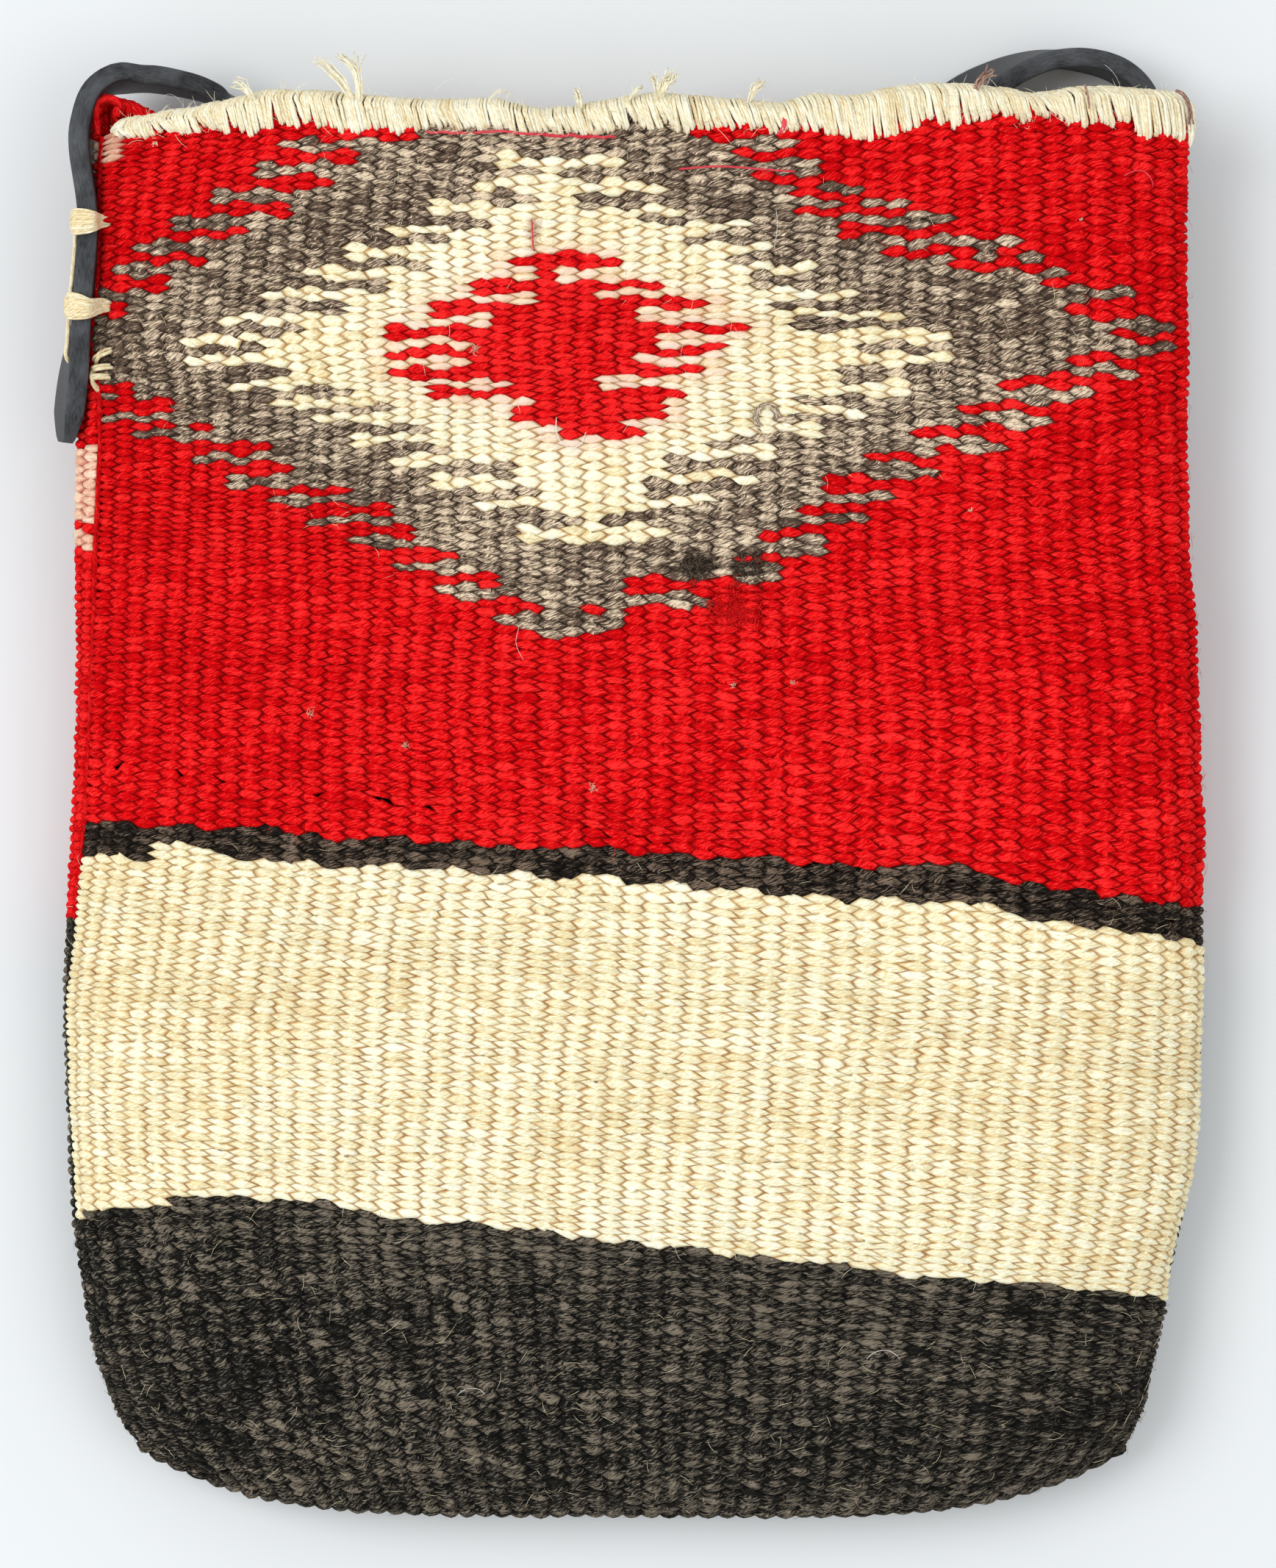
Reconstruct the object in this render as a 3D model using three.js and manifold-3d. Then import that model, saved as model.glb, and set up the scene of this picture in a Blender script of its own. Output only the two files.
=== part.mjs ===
// Tapestry-woven wool handbag with a leather strap lashed to its side seams.
// The bag is limp, so it lies on its back: +Y runs to the mouth, +Z is up, z = 0 is the table.
// Units are millimetres.
import * as THREE from 'three';
import { mergeVertices } from 'three/addons/utils/BufferGeometryUtils.js';
import Module from 'manifold-3d';

const wasm = await Module();
wasm.setup();

// Woven body: widths and thicknesses from the mouth down to the fold at the bottom
const BAG_HEIGHT = 294;
const MOUTH_Y = 140.4;
const MOUTH_WIDTH = 222;
const WAIST_WIDTH = 225;
const CHEST_WIDTH = 230.5;
const MIDDLE_WIDTH = 233;
const BELLY_WIDTH = 235;
const HIP_WIDTH = 223.5;
const BASE_WIDTH = 198;
const MOUTH_THICKNESS = 18;
const MIDDLE_THICKNESS = 31;
const BELLY_THICKNESS = 36;
const FOLD_THICKNESS = 4;
const CLOTH = 3.2;

// The mouth end is propped on the strap beneath it; the belly is pressed flat on the table
const MOUTH_LIFT = 18;
const REST_PRESS = 3;
const ROUND_LENGTH = 30;
const ROUND_SAG = 4;
const BOTTOM_BOW = 15;
const BOW_POWER = 5;

// The weave is skewed, so the bands drop towards the right
const BAND_SKEW = 8.5;
const BAND_TOP = 164;
const BAND_BOTTOM = 170;
const CREAM_BOTTOM = 243;

// Warp ribs that run from the mouth to the fold
const RIBS_PER_FACE = 48;
const RIB_HEIGHT = 0.7;
const LINING_SHARE = 4;

// Yarn overcast round the mouth edge
const OVERCAST_DEPTH = 7.5;
const OVERCAST_YARN = 1.5;
const OVERCAST_GROOVE = 0.8;

// Leather strap, thick as a belt, that stands on its cut edge
const STRAP_WIDTH = 15.5;
const STRAP_THICKNESS = 4;
const STRAP_BEVEL = 0.6;
const STRAP_TAPER = 13;
const STRAP_TIP_WIDTH = 5;
const STRAP_STEPS = 56;

// Cord lashings through punched holes in the strap's ends
const TIE_DOWNS = [24.7, 42.2, 54];
const HOLE_DIAMETER = 3.2;
const TIE_WIDTH = 5.5;
const CORD = 1.6;
const THREAD_WIDTH = 2;

const CLEARANCE = 0.3;
const TABLE_GAP = 0.3;

// A smooth curve through pairs of position and value
function profile(pairs) {
  const spline = new THREE.CubicInterpolant(pairs.map((p) => p[0]), pairs.map((p) => p[1]), 1);
  return (position) => spline.evaluate(position)[0];
}

const widthAt = profile([
  [0, MOUTH_WIDTH], [40, WAIST_WIDTH], [85, CHEST_WIDTH], [126, MIDDLE_WIDTH],
  [205, BELLY_WIDTH], [246, HIP_WIDTH], [BAG_HEIGHT, BASE_WIDTH],
]);
const centreAt = profile([[0, 3.5], [40, 2], [85, 0], [126, 1.4], [205, -0.5], [246, -2.5], [BAG_HEIGHT, -1]]);
const thicknessAt = profile([
  [0, MOUTH_THICKNESS], [126, MIDDLE_THICKNESS], [172, BELLY_THICKNESS], [BAG_HEIGHT, BELLY_THICKNESS],
]);
const undersideAt = profile([
  [0, MOUTH_LIFT], [105, 0.33 * MOUTH_LIFT], [140, 0.06 * MOUTH_LIFT], [168, -REST_PRESS], [BAG_HEIGHT, -REST_PRESS],
]);
const skewAt = profile([[0, 0], [BAND_TOP, BAND_SKEW], [CREAM_BOTTOM, BAND_SKEW], [BAG_HEIGHT, 0]]);

// The bag's cross-section at a distance down from the mouth edge
function station(distance) {
  const down = Math.min(Math.max(distance, 0), BAG_HEIGHT);
  const round = Math.max(0, (down - BAG_HEIGHT + ROUND_LENGTH) / ROUND_LENGTH);
  const full = thicknessAt(down) / 2;
  return {
    y: MOUTH_Y - distance,
    x: centreAt(down),
    z: undersideAt(down) + full - ROUND_SAG * round,
    halfWidth: widthAt(down) / 2,
    halfThick: Math.max(FOLD_THICKNESS / 2, full * Math.sqrt(Math.max(0, 1 - round ** 3))),
    bow: BOTTOM_BOW * round,
    skew: skewAt(down),
  };
}

// Flattened oval from the left edge, over the front, to the right edge and back underneath:
// (x / halfWidth)^6 + (z / halfThick)^2 = 1, flat in the middle and rounded at the seams
class Oval extends THREE.Curve {
  constructor(halfWidth, halfThick) {
    super();
    this.halfWidth = halfWidth;
    this.halfThick = halfThick;
  }

  getPoint(t, target = new THREE.Vector3()) {
    const turn = Math.PI * (2 * t - 0.5);
    const sine = Math.sin(turn);
    const rise = Math.cos(turn) * Math.sqrt(1 + sine ** 2 + sine ** 4);
    return target.set(this.halfWidth * sine, 0, this.halfThick * rise);
  }
}

// Evenly spaced points round a station, grown outwards by some millimetres and kept above a floor
function ring(down, grow, count, floor) {
  const at = station(down);
  const oval = new Oval(at.halfWidth + grow, at.halfThick + grow);
  return oval.getSpacedPoints(count).slice(0, count).map((point) => {
    const across = point.x / (at.halfWidth + grow);
    const y = at.y - at.skew * across + at.bow * Math.abs(across) ** BOW_POWER;
    return new THREE.Vector3(at.x + point.x, y, Math.max(floor, at.z + point.z));
  });
}

const RING = 2 * RIBS_PER_FACE * 2;
const LINING_RING = RING / LINING_SHARE;

// The lining has fewer, wider facets than the ribbed outside
function liningRing(down, grow, floor) {
  return ring(down, grow, LINING_RING, floor);
}

// The lining's facets again, cut into as many steps as the ribbed outside has
function finePoints(coarse) {
  return coarse.flatMap((point, i) => {
    const next = coarse[(i + 1) % coarse.length];
    return Array.from({ length: LINING_SHARE }, (_, s) => point.clone().lerp(next, s / LINING_SHARE));
  });
}

// Ribs fade out under the overcast and at the bottom fold
function ribHeight(down) {
  const top = THREE.MathUtils.smoothstep(down, OVERCAST_DEPTH + 1, OVERCAST_DEPTH + 9);
  return RIB_HEIGHT * top * (1 - THREE.MathUtils.smoothstep(down, BAG_HEIGHT - 6, BAG_HEIGHT));
}

function ribbedRing(down) {
  const valley = ring(down, 0, RING, 0);
  const crest = ring(down, ribHeight(down), RING, 0);
  return valley.map((point, i) => (i % 2 ? crest[i] : point));
}

// Gathers triangles of a closed surface, kept apart by material
class Skin {
  constructor() {
    this.points = [];
    this.faces = [];
  }

  addRing(points) {
    const first = this.points.length;
    this.points.push(...points);
    return points.map((_, i) => first + i);
  }

  triangle(a, b, c, material = 0) {
    this.faces.push({ corners: [a, b, c], material });
  }

  quad(a, b, c, d, material = 0) {
    this.triangle(a, b, c, material);
    this.triangle(a, c, d, material);
  }

  geometry() {
    const positions = new Float32Array(this.points.flatMap((p) => p.toArray()));
    const sorted = [...this.faces].sort((a, b) => a.material - b.material);
    const geometry = new THREE.BufferGeometry();
    geometry.setAttribute('position', new THREE.BufferAttribute(positions, 3));
    geometry.setIndex(sorted.flatMap((face) => face.corners));
    for (const material of new Set(sorted.map((face) => face.material))) {
      const first = sorted.findIndex((face) => face.material === material);
      const count = sorted.filter((face) => face.material === material).length;
      geometry.addGroup(3 * first, 3 * count, material);
    }
    geometry.computeVertexNormals();
    return geometry;
  }
}

// Which wool a face is woven in: bands cross the front, the back is red above and dark below
const RED = 0;
const CREAM = 1;
const DARK = 2;
function wool(down, isFront) {
  if (down < BAND_TOP) return RED;
  if (!isFront || down < BAND_BOTTOM || down >= CREAM_BOTTOM) return DARK;
  return CREAM;
}

// Woven body: one cloth folded at the bottom and sewn up the sides, open at the mouth
const OUTER_DOWNS = [
  0, OVERCAST_DEPTH + 1, OVERCAST_DEPTH + 9, 45, 80, 120, BAND_TOP, BAND_BOTTOM, 206, CREAM_BOTTOM,
  BAG_HEIGHT - 28, BAG_HEIGHT - 13, BAG_HEIGHT - 4, BAG_HEIGHT,
];
const LINING_DOWNS = [0, OVERCAST_DEPTH + 9, 45, 80, 120, BAND_BOTTOM, 206, CREAM_BOTTOM, BAG_HEIGHT - 28, BAG_HEIGHT - 9];

function wovenBody() {
  const skin = new Skin();
  const outer = OUTER_DOWNS.map((down) => skin.addRing(ribbedRing(down)));
  const lining = LINING_DOWNS.map((down) => skin.addRing(liningRing(down, -CLOTH, CLOTH)));
  for (let k = 0; k + 1 < outer.length; k += 1) {
    for (let i = 0; i < RING; i += 1) {
      const j = (i + 1) % RING;
      const material = wool(OUTER_DOWNS[k], i < RING / 2);
      skin.quad(outer[k][i], outer[k + 1][i], outer[k + 1][j], outer[k][j], material);
    }
  }
  for (let k = 0; k + 1 < lining.length; k += 1) {
    for (let i = 0; i < LINING_RING; i += 1) {
      const j = (i + 1) % LINING_RING;
      skin.quad(lining[k][i], lining[k][j], lining[k + 1][j], lining[k + 1][i]);
    }
  }
  // Mouth edge: each step of the lining faces several steps of the ribbed outside
  for (let i = 0; i < LINING_RING; i += 1) {
    const j = (i + 1) % LINING_RING;
    for (let s = 0; s < LINING_SHARE; s += 1) {
      const a = i * LINING_SHARE + s;
      skin.triangle(lining[0][i], outer[0][a], outer[0][(a + 1) % RING]);
    }
    skin.triangle(lining[0][i], outer[0][(j * LINING_SHARE) % RING], lining[0][j]);
  }
  // Bottom fold: the front half of the last ring is stitched to the back half
  const last = outer[outer.length - 1];
  for (let i = 0; i < RING / 2; i += 1) {
    const back = (RING - i) % RING;
    skin.quad(last[i], last[back], last[(RING - i - 1) % RING], last[i + 1], DARK);
  }
  const floor = lining[lining.length - 1];
  for (let i = 0; i < LINING_RING / 2; i += 1) {
    const back = (LINING_RING - i) % LINING_RING;
    skin.quad(floor[i], floor[i + 1], floor[(LINING_RING - i - 1) % LINING_RING], floor[back]);
  }
  return skin.geometry();
}

// A wrapped channel of yarn over the mouth edge, ridged by its stitches
function mouthOvercast() {
  const skin = new Skin();
  const outline = (yarn) => [
    [CLEARANCE, OVERCAST_DEPTH],
    [CLEARANCE + yarn, 0.35 * OVERCAST_DEPTH],
    [-CLOTH / 2, -CLEARANCE - yarn],
    [-CLOTH - CLEARANCE - yarn, 0.35 * OVERCAST_DEPTH],
    [-CLOTH - CLEARANCE, OVERCAST_DEPTH],
    [-CLOTH - CLEARANCE, -CLEARANCE],
    [CLEARANCE, -CLEARANCE],
  ];
  const around = ([grow, down]) => (grow > -CLOTH ? ring(down, grow, RING, 0) : finePoints(liningRing(down, grow, 0)));
  const ridge = outline(OVERCAST_YARN).map(around);
  const groove = outline(OVERCAST_GROOVE).map(around);
  const loops = ridge.map((points, k) => skin.addRing(points.map((point, i) => (i % 2 ? groove[k][i] : point))));
  loops.forEach((loop, k) => {
    const next = loops[(k + 1) % loops.length];
    for (let i = 0; i < RING; i += 1) {
      const j = (i + 1) % RING;
      skin.quad(loop[i], loop[j], next[j], next[i]);
    }
  });
  return skin.geometry();
}

// Sweeps a flat bevelled section through frames of centre, width direction and thickness direction
function sweep(frames) {
  const skin = new Skin();
  const loops = frames.map(({ centre, wide, thick, halfWidth, halfThick, bevel }) => {
    const w = halfWidth;
    const t = halfThick;
    const b = Math.min(bevel, 0.9 * w, 0.9 * t);
    const outline = [
      [b - w, t], [-w, t - b], [-w, b - t], [b - w, -t], [w - b, -t], [w, b - t], [w, t - b], [w - b, t],
    ];
    return skin.addRing(outline.map(([u, v]) => centre.clone().addScaledVector(wide, u).addScaledVector(thick, v)));
  });
  const sides = loops[0].length;
  for (let k = 0; k + 1 < loops.length; k += 1) {
    for (let i = 0; i < sides; i += 1) {
      const j = (i + 1) % sides;
      skin.quad(loops[k][i], loops[k][j], loops[k + 1][j], loops[k + 1][i]);
    }
  }
  const first = loops[0];
  const last = loops[loops.length - 1];
  for (let i = 1; i + 1 < sides; i += 1) {
    skin.triangle(first[0], first[i + 1], first[i]);
    skin.triangle(last[0], last[i], last[i + 1]);
  }
  return skin.geometry();
}

// Strap route: x, y, z of the centre and its lean in degrees to the right of travel, for a mouth 222 mm wide
const ROUTE_UNIT = MOUTH_WIDTH / 222;

function standing(lean) {
  const turn = THREE.MathUtils.degToRad(lean);
  return TABLE_GAP + (STRAP_WIDTH * Math.cos(turn) + STRAP_THICKNESS * Math.sin(turn)) / 2;
}

function besideLeftSeam(down, lean) {
  const at = station(down * ROUTE_UNIT);
  const x = at.x - at.halfWidth - RIB_HEIGHT - CLEARANCE - STRAP_THICKNESS / 2;
  return [x - (STRAP_WIDTH / 2) * Math.sin(THREE.MathUtils.degToRad(lean)), at.y, at.z, lean];
}

function inAir(x, y, z, lean) {
  return [x * ROUTE_UNIT, y * ROUTE_UNIT, z * ROUTE_UNIT, lean];
}

function onTable(x, y, lean) {
  return [x * ROUTE_UNIT, y * ROUTE_UNIT, standing(lean), lean];
}

const STRAP_ROUTE = [
  besideLeftSeam(70, 9), besideLeftSeam(56, 7), besideLeftSeam(42.2, 2), besideLeftSeam(24.7, 0),
  inAir(-113.9, 130, 26.4, 0), inAir(-113.6, 136, 25.8, 0), inAir(-111.9, 141.6, 24, 0),
  inAir(-108.2, 145.2, 21, 0), inAir(-103.6, 146.4, 18, 0), inAir(-98, 146, 14.6, 0),
  inAir(-91.5, 144.4, 11, 0), inAir(-86, 142, 8.6, 4),
  onTable(-80, 137, 18), onTable(-71, 126, 46), onTable(-58, 106, 62), onTable(-43, 75, 76),
  onTable(-15, 51, 86), onTable(18, 50, 86), onTable(44, 74, 76), onTable(56, 106, 60), onTable(61.5, 129, 40),
  onTable(66.5, 141.5, 23), onTable(75.1, 148.2, 12), onTable(85, 151.8, 3), onTable(94, 151.6, 0),
  onTable(102.4, 149, 0), onTable(107.8, 143, 0), onTable(109.4, 133, 0), onTable(109.6, 116, 0),
  onTable(109.6, 98, 0), onTable(109.6, 71, 0),
];
const strapLine = new THREE.CatmullRomCurve3(STRAP_ROUTE.map(([x, y, z]) => new THREE.Vector3(x, y, z)));
const strapLean = new THREE.CatmullRomCurve3(STRAP_ROUTE.map(([, , , lean]) => new THREE.Vector3(lean, 0, 0)));
const UP = new THREE.Vector3(0, 0, 1);

function strapFrame(t) {
  const tangent = strapLine.getTangent(t);
  const right = new THREE.Vector3().crossVectors(tangent, UP).normalize();
  const upright = new THREE.Vector3().crossVectors(right, tangent).normalize();
  const lean = THREE.MathUtils.degToRad(strapLean.getPoint(t).x);
  const wide = upright.clone().multiplyScalar(Math.cos(lean)).addScaledVector(right, Math.sin(lean));
  const thick = right.clone().multiplyScalar(Math.cos(lean)).addScaledVector(upright, -Math.sin(lean));
  return { centre: strapLine.getPoint(t), tangent, wide, thick };
}

// The route's parameter where one end run of the strap crosses a height in Y
function strapParameter(y, start, end) {
  const rises = strapLine.getPoint(end).y > strapLine.getPoint(start).y;
  let [low, high] = [start, end];
  for (let step = 0; step < 40; step += 1) {
    const middle = (low + high) / 2;
    const below = strapLine.getPoint(middle).y < y;
    [low, high] = below === rises ? [middle, high] : [low, middle];
  }
  return (low + high) / 2;
}

const LEFT_RUN = [0, 5 / (STRAP_ROUTE.length - 1)];
const RIGHT_RUN = [1 - 4 / (STRAP_ROUTE.length - 1), 1];
const leftTies = TIE_DOWNS.map((down) => strapFrame(strapParameter(MOUTH_Y - down, ...LEFT_RUN)));
const rightTies = TIE_DOWNS.map((down) => strapFrame(strapParameter(MOUTH_Y - down, ...RIGHT_RUN)));

function toManifold(geometry) {
  const plain = new THREE.BufferGeometry();
  plain.setAttribute('position', geometry.getAttribute('position'));
  plain.setIndex(geometry.index);
  const merged = mergeVertices(plain, 1e-4);
  return new wasm.Manifold(new wasm.Mesh({
    numProp: 3,
    vertProperties: new Float32Array(merged.getAttribute('position').array),
    triVerts: new Uint32Array(merged.index.array),
  }));
}

function fromManifold(solid) {
  const mesh = solid.getMesh();
  const geometry = new THREE.BufferGeometry();
  geometry.setAttribute('position', new THREE.BufferAttribute(new Float32Array(mesh.vertProperties), 3));
  geometry.setIndex(new THREE.BufferAttribute(new Uint32Array(mesh.triVerts), 1));
  geometry.computeVertexNormals();
  return geometry;
}

// Leather strap with tapered tips and three punched holes at each end
function strap() {
  const length = strapLine.getLength();
  const frames = [];
  for (let k = 0; k <= STRAP_STEPS; k += 1) {
    const share = k / STRAP_STEPS;
    const fromEnd = Math.min(share, 1 - share) * length;
    const taper = THREE.MathUtils.smoothstep(fromEnd, -STRAP_TAPER / 2, STRAP_TAPER);
    const width = THREE.MathUtils.lerp(STRAP_TIP_WIDTH, STRAP_WIDTH, taper);
    const frame = strapFrame(strapLine.getUtoTmapping(share));
    frames.push({ ...frame, halfWidth: width / 2, halfThick: STRAP_THICKNESS / 2, bevel: STRAP_BEVEL });
  }
  let solid = toManifold(sweep(frames));
  const punch = new THREE.CylinderGeometry(HOLE_DIAMETER / 2, HOLE_DIAMETER / 2, 3 * STRAP_THICKNESS, 10);
  for (const tie of [...leftTies, ...rightTies]) {
    const turn = new THREE.Quaternion().setFromUnitVectors(new THREE.Vector3(0, 1, 0), tie.thick);
    const place = new THREE.Matrix4().compose(tie.centre, turn, new THREE.Vector3(1, 1, 1));
    solid = solid.subtract(toManifold(punch.clone().applyMatrix4(place)));
  }
  return fromManifold(solid);
}

// One pass of cord along points, wide where it lies on leather and narrow in the hole
function cordPass(points, widths, along) {
  const line = new THREE.CatmullRomCurve3(points, false, 'centripetal');
  const girth = new THREE.CatmullRomCurve3(widths.map((width) => new THREE.Vector3(width, 0, 0)));
  const steps = 2 * (points.length - 1);
  const frames = [];
  for (let k = 0; k <= steps; k += 1) {
    const t = k / steps;
    const tangent = line.getTangent(t);
    const thick = new THREE.Vector3().crossVectors(tangent, along).normalize();
    const wide = new THREE.Vector3().crossVectors(thick, tangent).normalize();
    frames.push({
      centre: line.getPoint(t), wide, thick, halfWidth: girth.getPoint(t).x / 2, halfThick: CORD / 2, bevel: 0.45,
    });
  }
  return toManifold(sweep(frames));
}

// A point beside the strap, by distance out from its outer face and up from its middle line;
// the outer face is on the left of travel
function beside(tie, out, up) {
  return tie.centre.clone().addScaledVector(tie.wide, up).addScaledVector(tie.thick, -STRAP_THICKNESS / 2 - out);
}

const LIE = CLEARANCE + CORD / 2 + 0.1;
const EDGE = STRAP_WIDTH / 2;
const BORE_WIDTH = HOLE_DIAMETER - 2 * CLEARANCE - 0.4;
const INNER_FACE = -STRAP_THICKNESS;

// From the cloth over the strap's upper edge to its outer face
function overEdge(tie) {
  return [
    beside(tie, INNER_FACE - LIE + 0.2, EDGE + 0.2),
    beside(tie, -STRAP_THICKNESS / 2, EDGE + LIE + 0.3),
    beside(tie, LIE, EDGE),
  ];
}

// From the cloth that overhangs the strap straight to its outer face
function pastEdge(tie) {
  return [beside(tie, LIE + 0.2, EDGE)];
}

// A tie from the cloth, across the strap's outer face and in through the hole
function tieCord(tie, start) {
  const points = [
    ...start,
    beside(tie, LIE, EDGE / 2),
    beside(tie, LIE - 0.2, 0.9),
    beside(tie, -0.6, 0),
    beside(tie, INNER_FACE, 0),
  ];
  const widths = [...start.map(() => TIE_WIDTH), TIE_WIDTH, 3, BORE_WIDTH, BORE_WIDTH];
  return cordPass(points, widths, tie.tangent);
}

// Running cord on the strap's outer face from hole to hole
function runningCord(ties) {
  const points = ties.map((tie) => beside(tie, LIE, 0));
  return cordPass(points, ties.map(() => THREAD_WIDTH), ties[0].wide);
}

function lashing(ties, clothSteps, route) {
  const passes = ties.map((tie, k) => {
    const start = [...clothPoints(TIE_DOWNS[k], clothSteps), ...route(tie)];
    return tieCord(tie, start);
  });
  return fromManifold(passes.reduce((sum, pass) => sum.add(pass), runningCord(ties)));
}

// Points on the cloth where the cord comes out, a few ribs from a side seam
function clothPoints(down, steps) {
  const around = ring(down, RIB_HEIGHT + LIE + CORD / 3, RING, 0);
  return steps.map((step) => new THREE.Vector3(around[step].x, MOUTH_Y - down, around[step].z));
}

const red = new THREE.MeshStandardMaterial({ color: 0xa81f1c, roughness: 0.95, metalness: 0 });
const cream = new THREE.MeshStandardMaterial({ color: 0xd9c7a3, roughness: 0.95, metalness: 0 });
const dark = new THREE.MeshStandardMaterial({ color: 0x37322d, roughness: 0.95, metalness: 0 });
const edging = new THREE.MeshStandardMaterial({ color: 0xe6d8b8, roughness: 0.9, metalness: 0 });
const leather = new THREE.MeshStandardMaterial({ color: 0x1d1c1c, roughness: 0.55, metalness: 0 });
const cord = new THREE.MeshStandardMaterial({ color: 0xd5c3a0, roughness: 0.9, metalness: 0 });

const bag = new THREE.Group();
function add(name, geometry, material) {
  const mesh = new THREE.Mesh(geometry, material);
  mesh.name = name;
  bag.add(mesh);
}

add('woven_body', wovenBody(), [red, cream, dark]);
add('mouth_overcast', mouthOvercast(), edging);
add('strap', strap(), leather);
add('left_lashing', lashing(leftTies, [5, 3], overEdge), cord);
add('right_lashing', lashing(rightTies, [RING / 2 + 2], pastEdge), cord.clone());

export default bag;
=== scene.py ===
import math

import bpy
import numpy as np
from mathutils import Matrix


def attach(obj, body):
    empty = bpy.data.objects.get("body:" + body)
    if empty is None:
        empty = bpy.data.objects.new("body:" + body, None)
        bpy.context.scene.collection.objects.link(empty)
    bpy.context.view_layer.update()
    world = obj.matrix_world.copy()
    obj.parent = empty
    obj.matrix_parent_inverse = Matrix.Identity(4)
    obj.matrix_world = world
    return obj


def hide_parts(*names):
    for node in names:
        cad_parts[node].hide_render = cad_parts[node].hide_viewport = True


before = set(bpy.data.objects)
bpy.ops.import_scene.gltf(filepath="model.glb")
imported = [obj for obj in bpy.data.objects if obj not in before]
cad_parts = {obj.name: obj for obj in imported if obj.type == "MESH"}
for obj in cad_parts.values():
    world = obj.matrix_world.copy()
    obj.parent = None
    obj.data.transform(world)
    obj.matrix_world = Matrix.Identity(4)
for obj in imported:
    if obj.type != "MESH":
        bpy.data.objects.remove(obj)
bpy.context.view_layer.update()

# Photograph: size in pixels, millimetres for one pixel, and the pixel over the frame's origin
PHOTO_WIDTH = 1736
PHOTO_HEIGHT = 2133
PIXEL = 0.1525
ORIGIN_PX = (861.0, 1064.0)
SCALE_LEVEL = 22.0
CAMERA_HEIGHT = 1200.0
MM = 0.001

# Bag body, in millimetres, as in the part
BAG_HEIGHT = 294.0
MOUTH_Y = 140.4
WIDTHS = [(0, 222), (40, 225), (85, 230.5), (126, 233), (205, 235), (246, 223.5), (294, 198)]
CENTRES = [(0, 3.5), (40, 2), (85, 0), (126, 1.4), (205, -0.5), (246, -2.5), (294, -1)]
THICKNESSES = [(0, 18), (126, 31), (172, 36), (294, 36)]
MOUTH_LIFT = 18.0
REST_PRESS = 3.0
UNDERSIDES = [
    (0, MOUTH_LIFT), (105, 0.33 * MOUTH_LIFT), (140, 0.06 * MOUTH_LIFT), (168, -REST_PRESS),
    (294, -REST_PRESS),
]
SKEWS = [(0, 0), (164, 8.5), (243, 8.5), (294, 0)]
# The cloth's left edge swells out to the strap near the mouth, and both edges at the bottom corners
LEFT_SWELLS = [
    (0, 3.3), (8, 3.0), (17, 2.1), (26, 1.2), (34, 0.8), (44, 0.7), (60, 0.8), (72, 0.5), (88, 0), (222, 0),
    (246, 1.2), (264, 2.4), (279, 4.0), (286, 3.9), (294, 2.0),
]
RIGHT_SWELLS = [(236, 0), (252, 0.8), (264, 1.6), (279, 3.0), (294, 4.8)]
# How much of the half width a swell takes up
SWELL_SHARES = [(100, 0.1), (220, 0.45)]
ROUND_LENGTH = 30.0
ROUND_SAG = 4.0
BOTTOM_BOW = 15.0
BOW_POWER = 5
FOLD_THICKNESS = 4.0
CLOTH_THICKNESS = 3.2
FOLD_DOWN = 291.5
FOLD_BULGE = 1.8
TABLE_CLEAR = 1.0
# Steps round a ring and across the cloth, places down the front and round the fold, and the left seam's part
OVAL_STEPS = 720
ACROSS_STEPS = 260
FRONT_DOWNS = np.append(np.arange(0, FOLD_DOWN, 1.5), FOLD_DOWN)
FOLD_TURNS = [68, 45, 22, 0, -22, -45, -68]
SEAM_SHARES = np.linspace(0, 0.15, 151)
# How far down the mouth's uneven edge is felt
MOUTH_FADE = 14.0
# The cloth's width, in millimetres
CLOTH_WIDTH = 235.0

# Weave
COLUMNS = 52
COLUMN_SPREAD = 0.1
SHOULDER = 0.3
FIBRE_SLANT = 24.0
RIDGE = 0.9
RIB_CREST = 0.22
VALLEY = -0.3
# How far a shared corner is moved, as shares of a column and a row
CORNER_SHIFT = (0.06, 0.115)
RED_PITCH = 1.98
BAND_PITCH = 1.85
CREAM_PITCH = 1.62
DARK_PITCH = 1.95
# Round the diamond the finer cream rows crowd the middle, so rows fan out towards the sides
DIAMOND_PITCH = 1.84
DIAMOND_Q = 49.0
DIAMOND_REACH = 57.0
ROW_FAN = 14.0
FAN_WIDTH = 0.85
# How uneven the rows' and columns' widths are, as shares
ROW_UNEVEN = 0.13
COLUMN_UNEVEN = 0.12
BAND_TOP_DOWN = 164.0
CREAM_TOP_DOWN = 171.0
DARK_TOP_DOWN = 246.0
SPLIT_DOWN = 150.0
INSIDE_DEPTH = 110.0
FIRST_ROW = -0.6
# From here the skew of the rows fades away towards the back's edge
SKEW_FADE_Q = 330.0
# How far rows and columns wander, and how near the mouth's edges they stop
ROW_SWAY = 0.45
FINE_SWAY = 0.28
COLUMN_SWAY = 0.12
CALM_REACH = 30.0
# How uneven stitches are: lean and slip in rows, thickness, soft swelling, shade, and pale flecks
STITCH_LEAN = 0.09
STITCH_SLIP = 0.03
STITCH_UNEVEN = 0.14
PUFF_UNEVEN = 0.06
PUFF_RISE = 0.35
PUFF_CALM = 20.0
SHADE_UNEVEN = 0.17
SHADE_WAVE = 0.1
FLECK_SHARE = 0.07
FLECK_LIGHT = 0.27
FLOOR_CLEAR = 0.1
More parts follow.
